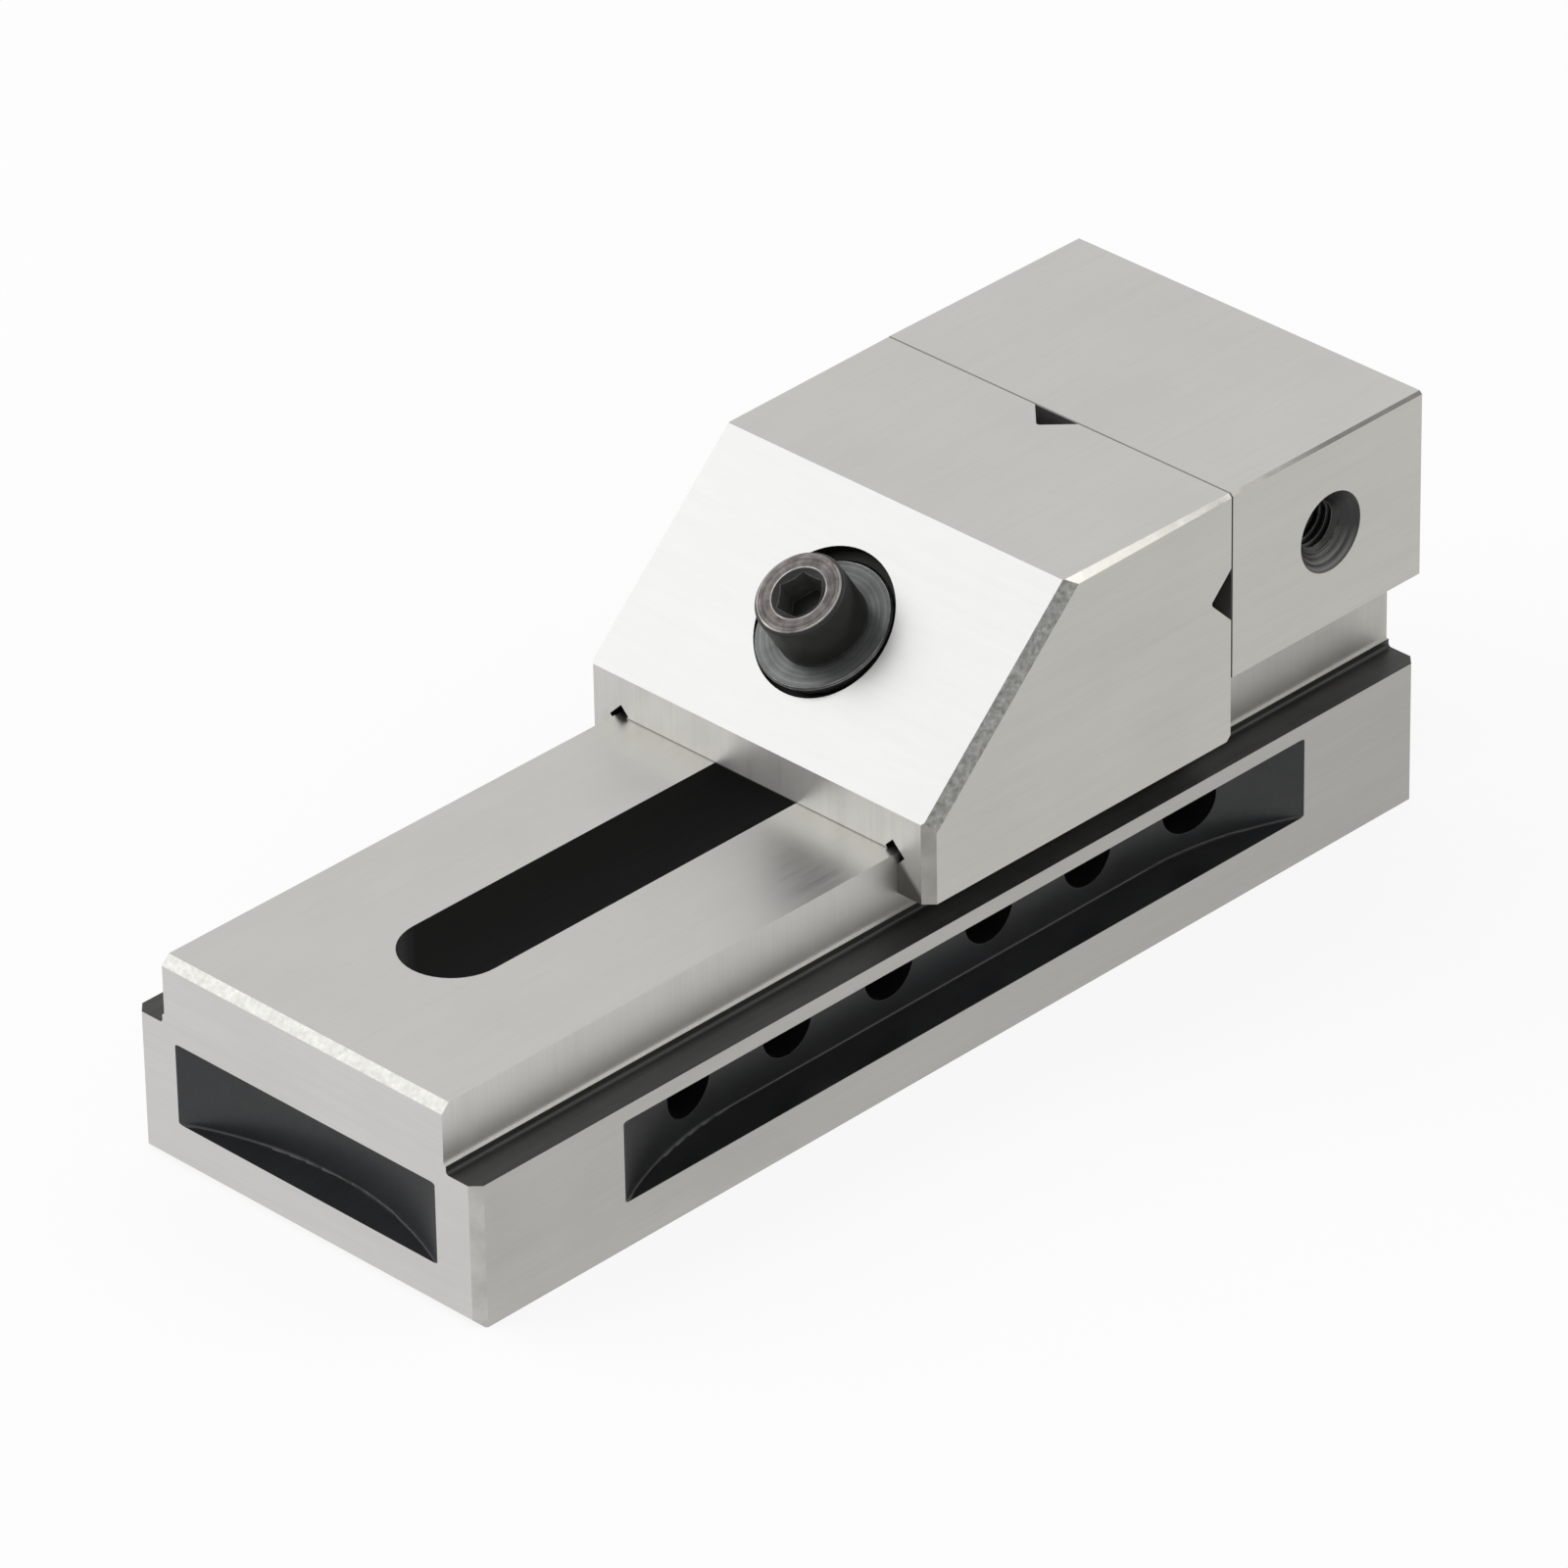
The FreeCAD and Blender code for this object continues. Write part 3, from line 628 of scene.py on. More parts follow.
def dress(node: str, paint: Paint, regions: Sequence[Region], rest: Finish,
          choose: Optional[Callable] = None) -> None:
    """Gives each face of a solid its finish by the plane that it lies in.

    Args:
        node: The solid's name.
        paint: The materials.
        regions: The planes with a finish of their own.
        rest: The finish of all other faces.
        choose: Picks a finish for a face in none of the planes, from its normal and centre.
    """
    mesh = frame["nodes"][node].data
    used = list(dict.fromkeys([rest] + [region.finish for region in regions]))
    mesh.materials.clear()
    for polygon in mesh.polygons:
        finish = next((r.finish for r in regions if r.holds(polygon.normal, polygon.center)), None)
        if finish is Finish.SIDE and polygon.center.z < LEDGE_TOP:
            finish = Finish.BASE_SIDE
        if finish is None:
            finish = choose(polygon.normal, polygon.center) if choose else rest
        if finish not in used:
            used.append(finish)
        polygon.material_index = used.index(finish)
    for finish in used:
        mesh.materials.append(paint[finish])
    log.info("dressed %s with %d finishes", node, len(used))


def both(finish: Finish, x: float, y: float, z: float, reach: float) -> list[Region]:
    """Gives the plane with that direction and reach, and its mirror images across XZ and YZ."""
    signs = {(sx, sy) for sx in ((1, -1) if x else (1,)) for sy in ((1, -1) if y else (1,))}
    return [Region((sx * x, sy * y, z), reach, finish) for sx, sy in sorted(signs)]


@dataclass
class ViseBody:
    """The one-piece base, rail and fixed jaw.

    Attributes:
        step_top: Height of the narrow step at the rail's foot.
        corner_chamfer: Chamfer of the base's upright corners.
        foot_chamfer: Chamfer under both ends.
        nose_chamfer: Chamfer of the rail's front end.
        jaw_chamfer: Chamfer along the fixed jaw's top sides.
        overhang: Height of the fixed jaw's overhanging underside.
        sink_floor: Distance from the middle plane at which the stop holes' countersinks end.
        pocket_top: Height below which every pocket lies.
        side_pocket_floor: Distance of the side pockets' floors from the middle plane, less a margin.
        end_pocket_floor: The same for the end pockets, from the middle of the vise.
        channel_side: Half the width that the slot and the channel lie within.
    """

    step_top: float = 22.6 * MM
    corner_chamfer: float = 1.4 * MM
    foot_chamfer: float = 1.1 * MM
    nose_chamfer: float = 1.3 * MM
    jaw_chamfer: float = 0.45 * MM
    overhang: float = 34.9 * MM
    sink_floor: float = SIDE - 2.03 * MM
    pocket_top: float = LEDGE_TOP - 1.0 * MM
    side_pocket_floor: float = RAIL_HALF_WIDTH - 1.5 * MM
    end_pocket_floor: float = HALF_LENGTH - 6.0 * MM
    channel_side: float = RAIL_HALF_WIDTH - 1.0 * MM

    def build(self, paint: Paint) -> None:
        """Dresses the body.

        Args:
            paint: The materials.
        """
        _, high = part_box("vise_body")
        end, side, top = high
        slant = math.sqrt(0.5)
        regions = [Region((0, 0, 1), top, Finish.TOP), Region((0, 0, 1), RAIL_TOP, Finish.TOP),
                   Region((0, 0, 1), self.step_top, Finish.STEP), Region((0, 0, -1), 0.0, Finish.SIDE),
                   Region((0, 0, -1), -self.overhang, Finish.SIDE),
                   Region((-1, 0, 0), -JAW_FACE, Finish.END),
                   Region((-1, 0, 1), (end + RAIL_TOP - self.nose_chamfer) * slant, Finish.CHAMFER)]
        regions += both(Finish.END, 1, 0, 0, end)
        regions += both(Finish.SIDE, 0, 1, 0, side)
        regions += both(Finish.RAIL_SIDE, 0, 1, 0, RAIL_HALF_WIDTH)
        regions += both(Finish.CORNER, 1, 1, 0, (end + side - self.corner_chamfer) * slant)
        regions += both(Finish.CORNER, 1, 0, -1, (end - self.foot_chamfer) * slant)
        regions += both(Finish.GREY_CHAMFER, 0, 1, 1, (side + top - self.jaw_chamfer) * slant)
        dress("vise_body", paint, regions, Finish.BLACK, self.cut_finish)

    def cut_finish(self, normal: Vector, centre: Vector) -> Finish:
        """Picks the finish of a face that a cutter left: pocket, hole, slot or ledge.

        Args:
            normal: The face's normal.
            centre: The face's centre.

        Returns:
            The face's finish.
        """
        along, sideways = abs(centre.x), abs(centre.y)
        if centre.z > RAIL_TOP:
            if centre.x < JAW_FACE + EDGE_BREAK:
                return seam_finish(normal)
            return Finish.SINK if sideways >= self.sink_floor else Finish.HOLE
        past_floor = sideways > self.side_pocket_floor or along > self.end_pocket_floor
        if centre.z < self.pocket_top and past_floor:
            return Finish.POCKET
        return Finish.HOLE if sideways < self.channel_side else Finish.BLACK


def seam_finish(normal: Vector) -> Finish:
    """Gives the finish of a clamping face's broken edge: lighter on the top than on the sides, as a painted
    highlight.
    """
    return Finish.SEAM_TOP if normal.z > LEANING else Finish.SEAM_SIDE


@dataclass
class MovableJaw:
    """The sloped sliding jaw.

    Attributes:
        slope_run: Length of the slope seen from above.
        slope_foot: Height of the slope's foot.
        edge_band: Width of the band along the outer edges that holds every chamfer.
        groove_depth: Depth of the V grooves.
        chamfer_part: Least part of a chamfer's normal along each way that it leans.
        slope_part: Range of the forward part of the normals of the chamfers along the slope.
        square_part: Least sideways part of the normal of a face along the jaw.
    """

    slope_run: float = 26.6 * MM
    slope_foot: float = 37.5 * MM
    edge_band: float = 2.0 * MM
    groove_depth: float = 4.1 * MM
    chamfer_part: float = 0.6
    slope_part: tuple = (0.2, 0.5)
    square_part: float = 0.99

    def build(self, paint: Paint) -> None:
        """Dresses the jaw.

        Args:
            paint: The materials.
        """
        low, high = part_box("movable_jaw")
        slope = Vector((self.slope_foot - high.z, 0, self.slope_run)).normalized()
        foot = Vector((low.x, 0, self.slope_foot))
        regions = [Region((0, 0, 1), high.z, Finish.TOP), Region((-1, 0, 0), -low.x, Finish.JAW_FRONT),
                   Region((1, 0, 0), high.x, Finish.END),
                   Region(tuple(slope), foot.dot(slope), Finish.SLOPE),
                   Region((0, 0, -1), -RAIL_TOP, Finish.SIDE),
                   Region((0, 0, -1), -low.z, Finish.SIDE)]
        regions += both(Finish.SIDE, 0, 1, 0, high.y)
        dress("movable_jaw", paint, regions, Finish.BLACK, self.cut_finish)

    def cut_finish(self, normal: Vector, centre: Vector) -> Finish:
        """Picks the finish of the chamfers, the grooves in the clamping face and all inner cuts.

        Args:
            normal: The face's normal.
            centre: The face's centre.

        Returns:
            The face's finish.
        """
        outer = abs(centre.y) > SIDE - self.edge_band
        if centre.x > JAW_FACE - EDGE_BREAK and (outer or centre.z > JAW_TOP - EDGE_BREAK):
            return seam_finish(normal)
        if outer and normal.z > self.chamfer_part:
            return Finish.CREAM_CHAMFER
        if outer and self.slope_part[0] < -normal.x < self.slope_part[1]:
            return Finish.SLOPE_SIDE
        if outer and min(-normal.x, abs(normal.y)) > self.chamfer_part:
            return Finish.JAW_CORNER
        if centre.x > JAW_FACE - self.groove_depth:
            return Finish.GROOVE
        if outer or (abs(centre.y) > RAIL_HALF_WIDTH and abs(normal.y) > self.square_part):
            return Finish.SIDE
        return Finish.HOLE


# Modelling

def start_mesh() -> None:
    """Leaves nothing selected, so that operators act only on what is added next."""
    if bpy.context.object and bpy.context.object.mode != "OBJECT":
        bpy.ops.object.mode_set(mode="OBJECT")
    bpy.ops.object.select_all(action="DESELECT")


def choose_only(piece: Piece) -> None:
    """Selects one piece alone, for the operators that follow.

    Args:
        piece: The piece.
    """
    start_mesh()
    piece.select_set(True)
    bpy.context.view_layer.objects.active = piece


def finish_mesh(piece: Piece, name: str, centre: Vector, turn: Matrix) -> None:
    """Names a piece and lays it on the screw's line or a hole's, with its place in its mesh.

    Args:
        piece: The piece, modelled on the Z axis.
        name: Its name.
        centre: Where its origin goes.
        turn: How it is turned.
    """
    piece.name = piece.data.name = name
    piece.matrix_world = Matrix.Translation(centre) @ turn.to_4x4()
    choose_only(piece)
    bpy.ops.object.transform_apply()


def apply_modifiers(piece: Piece) -> None:
    """Applies every modifier of a piece.

    Args:
        piece: The piece.
    """
    choose_only(piece)
    for modifier in list(piece.modifiers):
        bpy.ops.object.modifier_apply(modifier=modifier.name)


@contextmanager
def editing(piece: Piece) -> Iterator[None]:
    """Holds a piece in edit mode with all of it selected.

    Args:
        piece: The piece.

    Yields:
        Nothing; the piece is open until the block ends.
    """
    choose_only(piece)
    bpy.ops.object.mode_set(mode="EDIT")
    bpy.ops.mesh.select_all(action="SELECT")
    yield
    bpy.ops.object.mode_set(mode="OBJECT")


def tidy_normals(piece: Piece) -> None:
    """Merges doubles, turns the faces outwards and shades the piece smooth by angle.

    Args:
        piece: The piece.
    """
    with editing(piece):
        bpy.ops.mesh.remove_doubles(threshold=DOUBLES)
        bpy.ops.mesh.normals_make_consistent(inside=False)
    bpy.ops.object.shade_smooth_by_angle(angle=SMOOTH_ANGLE)


def draw_line(name: str, outline: Sequence[tuple]) -> Piece:
    """Draws a line of edges in the XZ plane: a point, extruded from place to place.

    Args:
        name: The piece's name.
        outline: Points of radius and height.

    Returns:
        The line.
    """
    points = [Vector((radius, 0, height)) for radius, height in outline]
    start_mesh()
    bpy.ops.mesh.primitive_plane_add(size=MM, location=points[0])
    piece = bpy.context.object
    piece.name = name
    with editing(piece):
        bpy.ops.mesh.select_mode(type="VERT")
        bpy.ops.mesh.merge(type="CENTER")
        for start, end in zip(points, points[1:]):
            bpy.ops.mesh.extrude_vertices_move(TRANSFORM_OT_translate={"value": end - start})
    bpy.ops.object.transform_apply()
    return piece


def lathe(name: str, outline: Sequence[tuple], steps: int) -> Piece:
    """Turns an outline of radius and height once round the Z axis.

    Args:
        name: The piece's name.
        outline: Points of radius and height.
        steps: Faces round the piece.

    Returns:
        The turned piece.
    """
    piece = draw_line(name, outline)
    with editing(piece):
        bpy.ops.mesh.spin(steps=steps, angle=2 * math.pi, center=(0, 0, 0), axis=(0, 0, 1))
    tidy_normals(piece)
    return piece


def wind(piece: Piece, angle: float, rise: float, rounds: int, steps: int) -> None:
    """Winds a closed outline up the Z axis and closes the two ends.

    Args:
        piece: The outline, which becomes the wound piece.
        angle: How far one round turns.
        rise: How far one round climbs.
        rounds: How many rounds there are.
        steps: Faces in one round.
    """
    winding = piece.modifiers.new("Winding", "SCREW")
    winding.axis = "Z"
    winding.angle = angle
    winding.screw_offset = rise
    winding.iterations = rounds
    winding.steps = winding.render_steps = steps
    apply_modifiers(piece)
    with editing(piece):
        bpy.ops.mesh.remove_doubles(threshold=DOUBLES)
        bpy.ops.mesh.fill_holes(sides=0)
    tidy_normals(piece)


def trim(piece: Piece, tool: Piece, operation: str) -> None:
    """Cuts a piece with another one, which is then taken away.

    Args:
        piece: The piece that is cut.
        tool: The closed form that cuts it.
        operation: DIFFERENCE to take the tool's space away, INTERSECT to keep only that.
    """
    cut = piece.modifiers.new("Cut", "BOOLEAN")
    cut.operation = operation
    cut.solver = "EXACT"
    cut.object = tool
    apply_modifiers(piece)
    bpy.data.objects.remove(tool)


@dataclass(frozen=True)
class ThreadForm:
    """A thread's ridge on the Z axis.

    Attributes:
        root: Radius of the wall or core that the ridge stands on.
        crest: Radius of its crest.
        sunk: Radius, inside that wall or core, to which the ridge reaches.
        pitch: Rise of one turn.
        turns: How many turns it has.
        start: Height at which it starts.
        steps: Faces in one turn.
        gap_part: Gap between two turns of the ridge, as a share of the pitch.
        half_crest_part: Half the crest's width, as a share of the pitch.
    """

    root: float
    crest: float
    sunk: float
    pitch: float
    turns: int
    start: float
    steps: int = 48
    gap_part: float = 1 / 16
    half_crest_part: float = 1 / 8

    def ridge(self, name: str) -> Piece:
        """Winds the ridge up the axis.

        Args:
            name: The piece's name.

        Returns:
            The ridge.
        """
        gap = self.pitch * self.gap_part
        half_crest = self.pitch * self.half_crest_part
        middle = self.start + self.pitch / 2
        low = self.start + gap / 2
        high = self.start + self.pitch - gap / 2
        piece = draw_line(name, [(self.sunk, low), (self.root, low), (self.crest, middle - half_crest),
                                 (self.crest, middle + half_crest), (self.root, high), (self.sunk, high),
                                 (self.sunk, low)])
        wind(piece, 2 * math.pi, self.pitch, self.turns, self.steps)
        return piece


@dataclass
class ClampScrew:
    """The M8 socket head cap screw, with its thread wound on.

    Attributes:
        under_head: Height of the head's underside above the ball centre.
        head_radius: The head's radius.
        head_height: Its height.
        head_chamfer: Chamfer of its top edge.
        flats: Width of the hex socket across its flats.
        socket_depth: Its depth.
        mouth_radius: Radius of the chamfer at its mouth.
        mouth_slope: Depth of that chamfer over its width.
        round_over: Radius of the worn edges.
        bright_edge_width: Width of the bright lines along the face's edges, worn metal and a painted
            highlight.
        major_radius: The thread's outer radius.
        minor_radius: Its root radius.
        pitch: Its pitch.
        length: Length under the head.
        plain_length: Length without thread.
        tip_length: Length of the plain tip before the thread starts.
        tip_chamfer: The tip's chamfer.
        head_steps: Faces round the head.
        shank_steps: Faces round the shank.
    """

    under_head: float = -2.2 * MM
    head_radius: float = 6.5 * MM
    head_height: float = 8.0 * MM
    head_chamfer: float = 0.4 * MM
    flats: float = 6.0 * MM
    socket_depth: float = 4.6 * MM
    mouth_radius: float = 3.9 * MM
    mouth_slope: float = 0.7
    round_over: float = 0.15 * MM
    bright_edge_width: float = 0.2 * MM
    major_radius: float = 3.98 * MM
    minor_radius: float = 3.3 * MM
    pitch: float = 1.25 * MM
    length: float = 38.0 * MM
    plain_length: float = 12.0 * MM
    tip_length: float = 0.8 * MM
    tip_chamfer: float = 0.3 * MM
    head_steps: int = 128
    shank_steps: int = 64

    def build(self, paint: Paint) -> None:
        """Models the screw in place of its plain solid.

        Args:
            paint: The materials.
        """
        for piece in (self.head(paint), self.shank(paint)):
            finish_mesh(piece, piece.name, SCREW_CENTRE, SCREW_TURN)
            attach(piece, "screw")
            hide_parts("clamp_screw")
            log.info("modelled %s", piece.name)

    def head(self, paint: Paint) -> Piece:
        """Turns the head and cuts its hex socket.

        Args:
            paint: The materials.

        Returns:
            The head.
        """
        base = self.under_head
        top = base + self.head_height
        rim = self.head_radius
        soft = self.round_over
        face_rim = rim - self.head_chamfer - soft
        outline = [(0, base), (rim - 2 * soft, base), (rim, base + 2 * soft),
                   (rim, top - self.head_chamfer - soft), (rim - soft / 2, top - self.head_chamfer),
                   (rim - self.head_chamfer, top - soft / 2), (face_rim, top),
                   (face_rim - self.bright_edge_width / 2, top),
                   (self.mouth_radius + self.bright_edge_width, top), (0, top)]
        head = lathe("screw_head", outline, self.head_steps)
        self.cut_socket(head, top)
        finishes = (Finish.SCREW_SIDE, Finish.SCREW_RING, Finish.SCREW_EDGE, Finish.SOCKET)
        for finish in finishes:
            head.data.materials.append(paint[finish])
        for polygon in head.data.polygons:
            finish = self.head_finish(polygon.center, polygon.normal, top)
            polygon.material_index = finishes.index(finish)
        return head

    def cut_socket(self, head: Piece, top: float) -> None:
        """Cuts the hex socket and the cone at its mouth.

        Args:
            head: The head.
            top: Height of its face.
        """
        start_mesh()
        bpy.ops.mesh.primitive_cylinder_add(
            vertices=6, radius=self.flats / math.sqrt(3), depth=2 * self.socket_depth,
            location=(0, 0, top))
        trim(head, bpy.context.object, "DIFFERENCE")
        start_mesh()
        bpy.ops.mesh.primitive_cone_add(
            vertices=CUTTER_SIDES, radius1=0, radius2=2 * self.mouth_radius,
            depth=2 * self.mouth_radius * self.mouth_slope, location=(0, 0, top))
        trim(head, bpy.context.object, "DIFFERENCE")
        choose_only(head)
        bpy.ops.object.shade_smooth_by_angle(angle=SMOOTH_ANGLE)

    def head_finish(self, centre: Vector, normal: Vector, top: float) -> Finish:
        """Picks the finish of one face of the head.

        Args:
            centre: The face's centre.
            normal: Its normal.
            top: Height of the head's face.

        Returns:
            The face's finish.
        """
        radius = centre.xy.length
        if radius < self.mouth_radius and centre.z < top - CLOSE:
            inside = self.under_head + MM < centre.z
            return Finish.SOCKET if inside and abs(normal.z) < LEANING else Finish.SCREW_SIDE
        if centre.z < top - self.round_over:
            return Finish.SCREW_SIDE
        face_rim = self.head_radius - self.head_chamfer - self.round_over - self.bright_edge_width / 2
        # The face's rims take the bright edge finish: wear and a painted highlight.
        if radius > face_rim or radius < self.mouth_radius + self.bright_edge_width:
            return Finish.SCREW_EDGE
        return Finish.SCREW_RING

    def shank(self, paint: Paint) -> Piece:
        """Winds the thread under a plain neck.

        Args:
            paint: The materials.

        Returns:
            The shank.
        """
        tip = self.under_head - self.length
        turns = int((self.length - self.plain_length) / self.pitch) - 1
        start = tip + self.tip_length
        form = ThreadForm(self.minor_radius, self.major_radius, self.minor_radius - self.tip_chamfer,
                          self.pitch, turns, start)
        wound = form.ridge("screw_shank")
        neck_low = start + turns * self.pitch
        outline = [(0, tip), (self.minor_radius - self.tip_chamfer, tip), (self.minor_radius, start),
                   (self.minor_radius, neck_low + self.pitch / 2),
                   (self.major_radius, neck_low + self.pitch), (self.major_radius, self.under_head),
                   (0, self.under_head)]
        depth = self.major_radius - self.minor_radius
        envelope = lathe("thread_envelope", [
            (0, start), (self.minor_radius, start), (self.major_radius + CLOSE, start + depth),
            (self.major_radius + CLOSE, neck_low - self.pitch), (self.minor_radius, neck_low),
            (0, neck_low)], self.shank_steps)
        trim(wound, envelope, "INTERSECT")
        tidy_normals(wound)
        core = lathe("screw_core", outline, self.shank_steps)
        choose_only(wound)
        core.select_set(True)
        bpy.ops.object.join()
        wound.data.materials.append(paint[Finish.THREAD])
        return wound


@dataclass
class BallWasher:
    """The turned washer with a spherical underside.

    Attributes:
        ball_radius: Radius of its underside.
        face: Height of its flat face above the ball centre.
        thickness: Its thickness.
        bore_radius: Radius of its hole.
        rim_chamfer: Chamfer of its rim.
        groove_depth: Depth of the marks that turning left on its face.
        grooves: How many marks there are.
        steps: Faces round the washer.
        arc_steps: Faces along the underside's arc.
    """

    ball_radius: float = 10.2 * MM
    face: float = -2.2 * MM
    thickness: float = 6.0 * MM
    bore_radius: float = 4.3 * MM
    rim_chamfer: float = 0.3 * MM
    groove_depth: float = 0.015 * MM
    grooves: int = 6
    steps: int = 160
    arc_steps: int = 20

    def build(self, paint: Paint) -> None:
        """Models the washer in place of its plain solid.

        Args:
            paint: The materials.
        """
        rim = math.sqrt(self.ball_radius ** 2 - self.face ** 2)
        flat_rim = rim - self.rim_chamfer
        flat_share, deep_share = 0.75, 0.88
        outline = [(self.bore_radius, self.face)]
        step = (flat_rim - self.bore_radius) / self.grooves
        for index in range(self.grooves):
            start = self.bore_radius + index * step
            outline += [(start + step * flat_share, self.face),
                        (start + step * deep_share, self.face - self.groove_depth)]
        outline.append((flat_rim, self.face))
        lowest = self.face - self.thickness
        arc_start = math.asin((self.face - self.rim_chamfer) / self.ball_radius)
        arc_end = math.asin(lowest / self.ball_radius)
        for index in range(self.arc_steps + 1):
            angle = arc_start + (arc_end - arc_start) * index / self.arc_steps
            outline.append((self.ball_radius * math.cos(angle), self.ball_radius * math.sin(angle)))
        outline += [(self.bore_radius, lowest), (self.bore_radius, self.face)]
        washer = lathe("washer", outline, self.steps)
        washer.data.materials.append(paint[Finish.WASHER])
        finish_mesh(washer, "seat_washer", SCREW_CENTRE, SCREW_TURN)
        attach(washer, "swivel")
        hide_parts("ball_washer")
        log.info("modelled seat_washer")


@dataclass
class StopThread:
    """The M8 thread in each work stop hole.

    Attributes:
        wall_radius: Radius of the hole's plain wall.
        crest_radius: Radius that the thread's crests reach inwards.
        pitch: The thread's pitch.
        sunk_radius: Radius in the metal to which the thread's ridge reaches.
        sink_radius: Radius of the countersink at its mouth.
        sink_angle: The countersink's full angle.
        first_depth: Depth at which the thread starts, before the countersink trims it.
        turns: How many turns it has.
    """

    wall_radius: float = 4.05 * MM
    crest_radius: float = 3.34 * MM
    pitch: float = 1.25 * MM
    sunk_radius: float = 4.25 * MM
    sink_radius: float = 5.92 * MM
    sink_angle: float = math.radians(82)
    first_depth: float = 0.9 * MM
    turns: int = 11

    def build(self, paint: Paint) -> None:
        """Winds one thread, and lays it and its copy in the two holes.

        Args:
            paint: The materials.
        """
        form = ThreadForm(self.wall_radius, self.crest_radius, self.sunk_radius, self.pitch, self.turns,
                          self.first_depth)
        right = form.ridge("stop_thread")
        rate = math.tan(self.sink_angle / 2)
        above = 1.0 * MM
        depth = above + self.sink_radius / rate
        start_mesh()
        bpy.ops.mesh.primitive_cone_add(vertices=CUTTER_SIDES, radius1=depth * rate, radius2=0, depth=depth,
                                        location=(0, 0, depth / 2 - above))
        trim(right, bpy.context.object, "DIFFERENCE")
        tidy_normals(right)
        right.data.materials.append(paint[Finish.THREAD])
        left = right.copy()
        left.data = right.data.copy()
        bpy.context.scene.collection.objects.link(left)
        for sign, label, piece in ((-1, "right", right), (1, "left", left)):
            mouth = Vector((HOLE_PLACE, sign * SIDE, HOLE_HEIGHT))
            finish_mesh(piece, "stop_thread_" + label, mouth, Matrix.Rotation(sign * math.pi / 2, 3, "X"))
            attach(piece, "base")
            log.info("modelled %s", piece.name)


@dataclass
class ReleaseSpring:
    """The coil spring between the movable jaw and the pull block, which the rising block shortens.

    Attributes:
        coil_radius: Radius of the coil to the middle of its wire.
        wire_radius: The wire's radius.
        half_turns: How many half turns the coil has.
        block_top: Height of the pull block's top above the ball centre, under the coil.
        seat: Height of the seat in the jaw, over the coil.
        end_gap: Room at either end.
        rise: How far the block rises; not used.
        steps: Faces in one half turn.
        sides: Faces round the wire.
    """

    coil_radius: float = 5.65 * MM
    wire_radius: float = 0.55 * MM
    half_turns: int = 9
    block_top: float = -36.0 * MM
    seat: float = -19.5 * MM
    end_gap: float = 0.2 * MM
    rise: float = 5.0 * MM
    steps: int = 20
    sides: int = 16

    def build(self, paint: Paint) -> None:
        """Winds the spring in place of its solid and attaches it to the draw body.

        Args:
            paint: The materials.
        """
        low = self.block_top + self.end_gap + self.wire_radius
        high = self.seat - self.end_gap - self.wire_radius
        start_mesh()
        bpy.ops.mesh.primitive_circle_add(
            vertices=self.sides, radius=self.wire_radius, location=(self.coil_radius, 0, low),
            rotation=(math.pi / 2, 0, 0))
        coil = bpy.context.object
        bpy.ops.object.transform_apply()
        wind(coil, math.pi, (high - low) / self.half_turns, self.half_turns, self.steps)
        coil.data.materials.append(paint[Finish.SPRING])
        start = Matrix.Rotation(math.pi / 2, 3, "Z")
        finish_mesh(coil, "coil_spring", SCREW_CENTRE, SCREW_TURN @ start)
        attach(coil, "draw")
        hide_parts("release_spring")
        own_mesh(coil)
        log.info("modelled coil_spring")


@dataclass
class DrawGear:
    """What hangs on the screw inside the vise and needs no more than a finish.

    Attributes:
        finishes: Each solid and its finish.
    """

    finishes: tuple = (("pull_block", Finish.THREAD), ("cross_pin", Finish.PIN),
                       ("pin_lock_screw", Finish.SOCKET))

    def build(self, paint: Paint) -> None:
        """Dresses the inner solids."""
        for node, finish in self.finishes:
            dress(node, paint, [], finish)


# Floor, light and camera

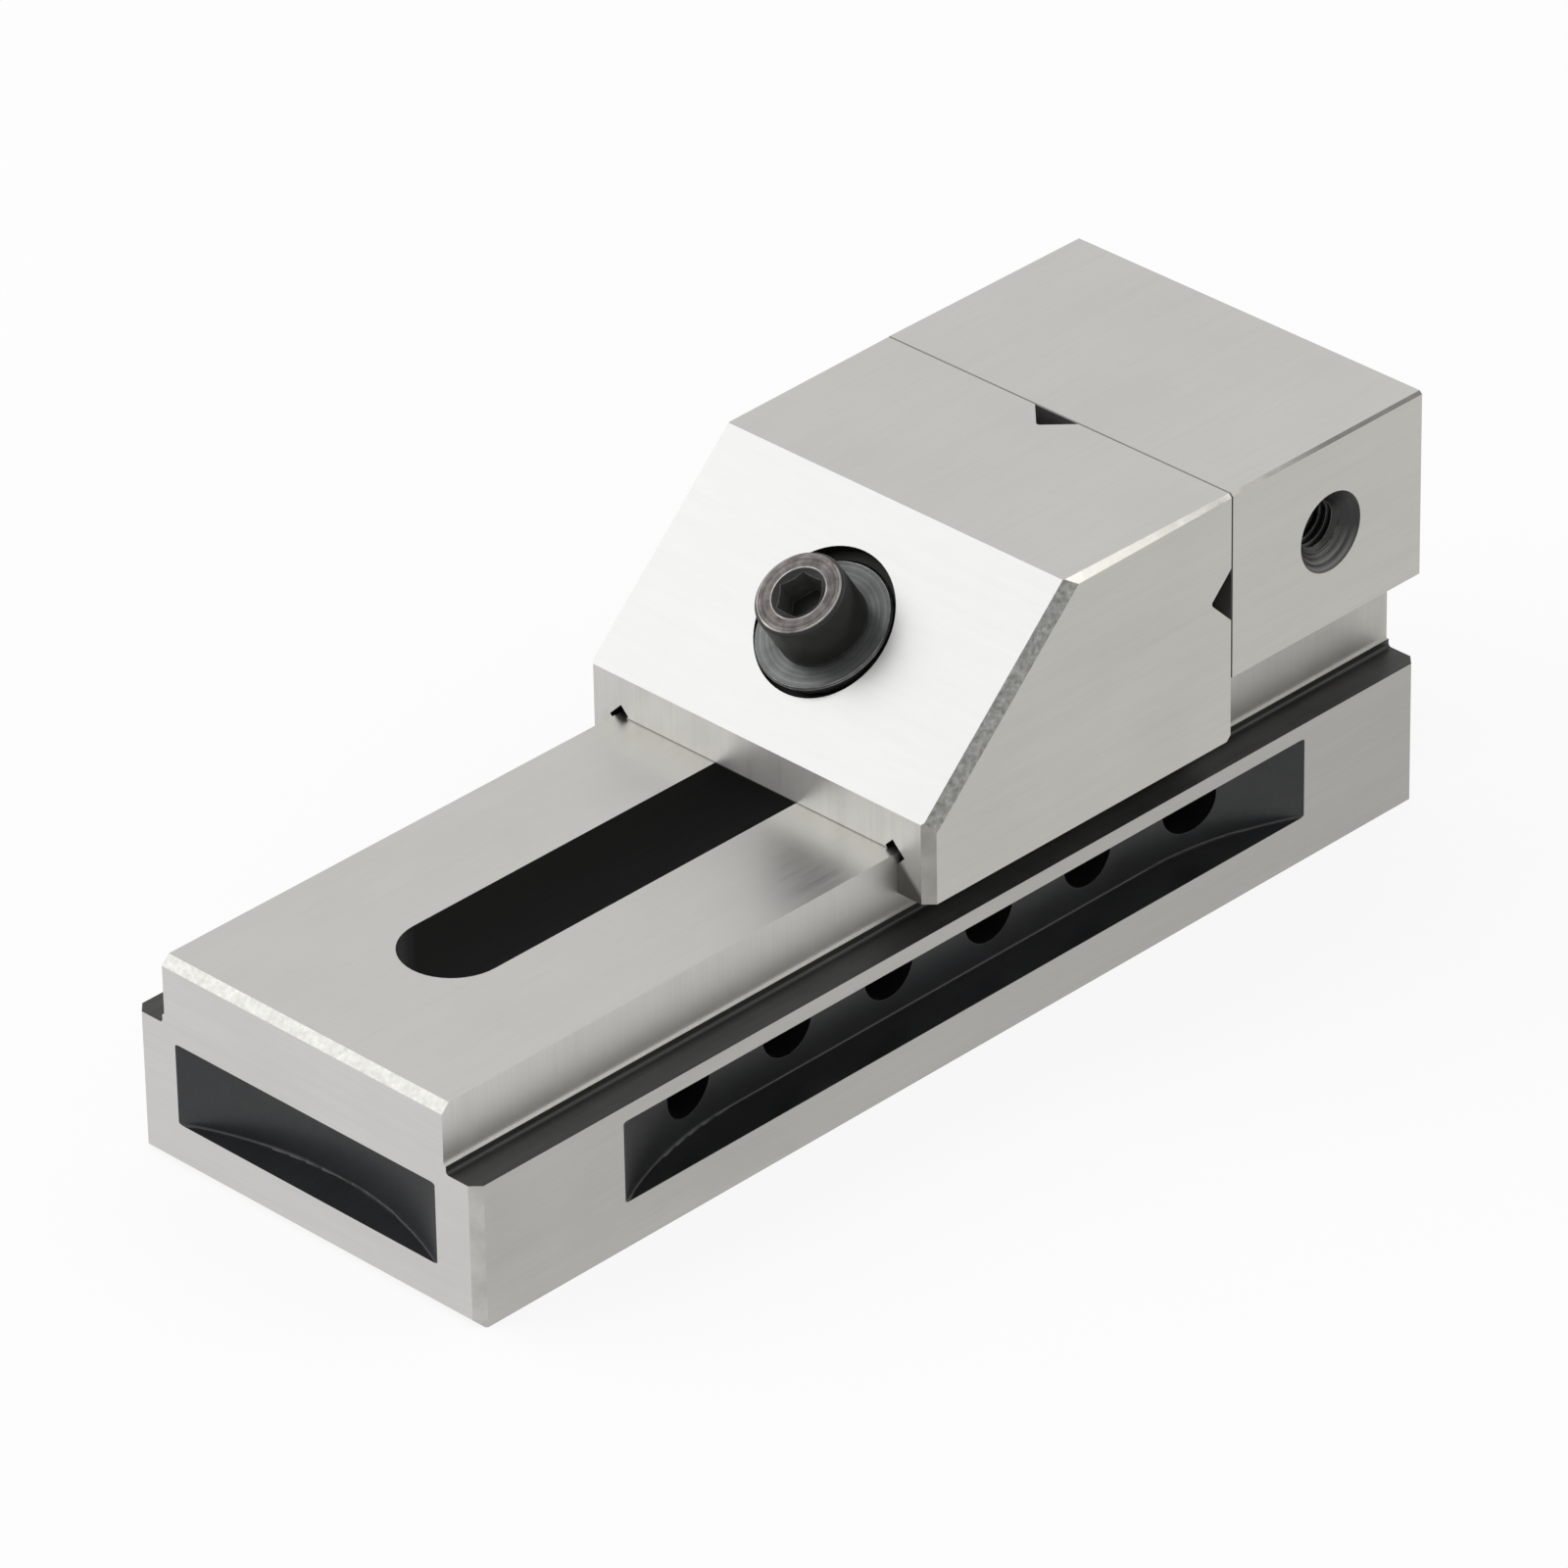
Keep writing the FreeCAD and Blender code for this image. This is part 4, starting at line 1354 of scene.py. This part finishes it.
@dataclass
class Studio:
    """A white sweep with soft light, seen from the photograph's angle.

    Attributes:
        camera_place: Where the camera stands.
        camera_turn: Its turn about X, Y and Z in degrees.
        lens: Its focal length in millimetres on a 36 mm sensor.
        floor_size: Side of the square floor.
        floor_gap: How far it lies under the vise.
        under_edge: How far inside the vise's outline the floor turns dark.
        fill: Strength of the light from all round.
        shadow: How much of the floor's own shading the camera sees.
    """

    camera_place: tuple = (-0.921071, -0.916212, 0.819977)
    camera_turn: tuple = (58.643707, 0.892458, -45.660136)
    lens: float = 265.2
    floor_size: float = 6.0
    floor_gap: float = 0.02 * MM
    under_edge: float = 2.0 * MM
    fill: float = 0.75
    shadow: float = 0.15

    def build(self) -> None:
        """Builds the floor, the sky, the lamps and the camera."""
        self.sky()
        self.floor()
        self.lamp("Key", (-0.494, 0.603, 0.626), distance=1.0, size=0.75, power=3.3)
        self.lamp("Side", (0.60, -0.62, 0.50), distance=1.2, size=0.7, power=1.2)
        self.camera()
        bpy.context.scene.view_settings.view_transform = "Standard"

    def sky(self) -> None:
        """Builds an even sky: grey as a light, white where the camera or a gloss sees it."""
        world = bpy.data.worlds.new("Studio")
        bpy.context.scene.world = world
        wire = start_wiring(world)
        light = wire.add("Background", Color=WHITE, Strength=self.fill)
        white = wire.add("Background", Color=WHITE, Strength=1.0)
        wire.add("OutputWorld", Surface=wire.blend(self.seen(wire), light, white))

    @staticmethod
    def seen(wire: Wiring) -> Socket:
        """Gives a socket that is 1 where the camera or a gloss looks and 0 elsewhere."""
        path = wire.add("LightPath").outputs
        return wire.math("MAXIMUM", path["Is Camera Ray"], path["Is Glossy Ray"])

    def white_floor(self, wire: Wiring) -> Socket:
        """Tells where the floor looks white: all of it to a gloss, and to the camera not under the vise.

        Args:
            wire: The wiring that it is added to.

        Returns:
            A socket that is 1 there and 0 elsewhere.
        """
        place = wire.add("SeparateXYZ", Vector=wire.add("TexCoord").outputs["Object"]).outputs
        along = wire.math("ABSOLUTE", place["X"])
        sideways = wire.math("ABSOLUTE", place["Y"])
        past_end = wire.math("GREATER_THAN", along, HALF_LENGTH - self.under_edge)
        past_side = wire.math("GREATER_THAN", sideways, SIDE - self.under_edge)
        gloss = wire.add("LightPath").outputs["Is Glossy Ray"]
        return wire.math("MAXIMUM", gloss, wire.math("MAXIMUM", past_end, past_side))

    def floor(self) -> None:
        """Lays the floor, which keeps a faint shadow of the vise."""
        start_mesh()
        bpy.ops.mesh.primitive_plane_add(size=self.floor_size, location=(0, 0, -self.floor_gap))
        plane = bpy.context.object
        plane.name = "Floor"
        material = bpy.data.materials.new("Floor white")
        wire = start_wiring(material)
        lit = wire.add("BsdfDiffuse", Color=srgb(245, 245, 245))
        white = wire.add("Emission", Color=WHITE, Strength=1.0)
        shown = wire.math("MULTIPLY", self.seen(wire), 1.0 - self.shadow)
        factor = wire.math("MULTIPLY", shown, self.white_floor(wire))
        wire.add("OutputMaterial", Surface=wire.blend(factor, lit, white))
        plane.data.materials.append(material)

    @staticmethod
    def lamp(name: str, direction: tuple, distance: float, size: float, power: float) -> None:
        """Hangs a square soft lamp that faces the vise.

        Args:
            name: Its name.
            direction: The way to it from the vise.
            distance: How far off it is.
            size: Its side.
            power: Its power in watts.
        """
        data = bpy.data.lights.new(name, "AREA")
        data.shape = "SQUARE"
        data.size = size
        data.energy = power
        lamp = bpy.data.objects.new(name, data)
        bpy.context.scene.collection.objects.link(lamp)
        place = Vector(direction).normalized() * distance
        lamp.location = place
        lamp.rotation_euler = place.to_track_quat("Z", "Y").to_euler()

    def camera(self) -> None:
        """Sets the camera at the photograph's angle."""
        data = bpy.data.cameras.new("Camera")
        data.lens = self.lens
        data.sensor_width = 36.0
        data.clip_start = 0.01
        camera = bpy.data.objects.new("Camera", data)
        camera.location = self.camera_place
        camera.rotation_euler = [math.radians(angle) for angle in self.camera_turn]
        bpy.context.scene.collection.objects.link(camera)
        bpy.context.scene.camera = camera


def main() -> None:
    """Builds every part of the scene in order."""
    logging.basicConfig(level=logging.INFO, format="%(name)s %(message)s")
    Studio().build()
    paint = Paint()
    parts = (ViseBody(), MovableJaw(), ClampScrew(), BallWasher(), StopThread(), ReleaseSpring(), DrawGear())
    for part in parts:
        part.build(paint)
        log.info("finished %s", type(part).__name__)


if __name__ == "__main__":
    main()
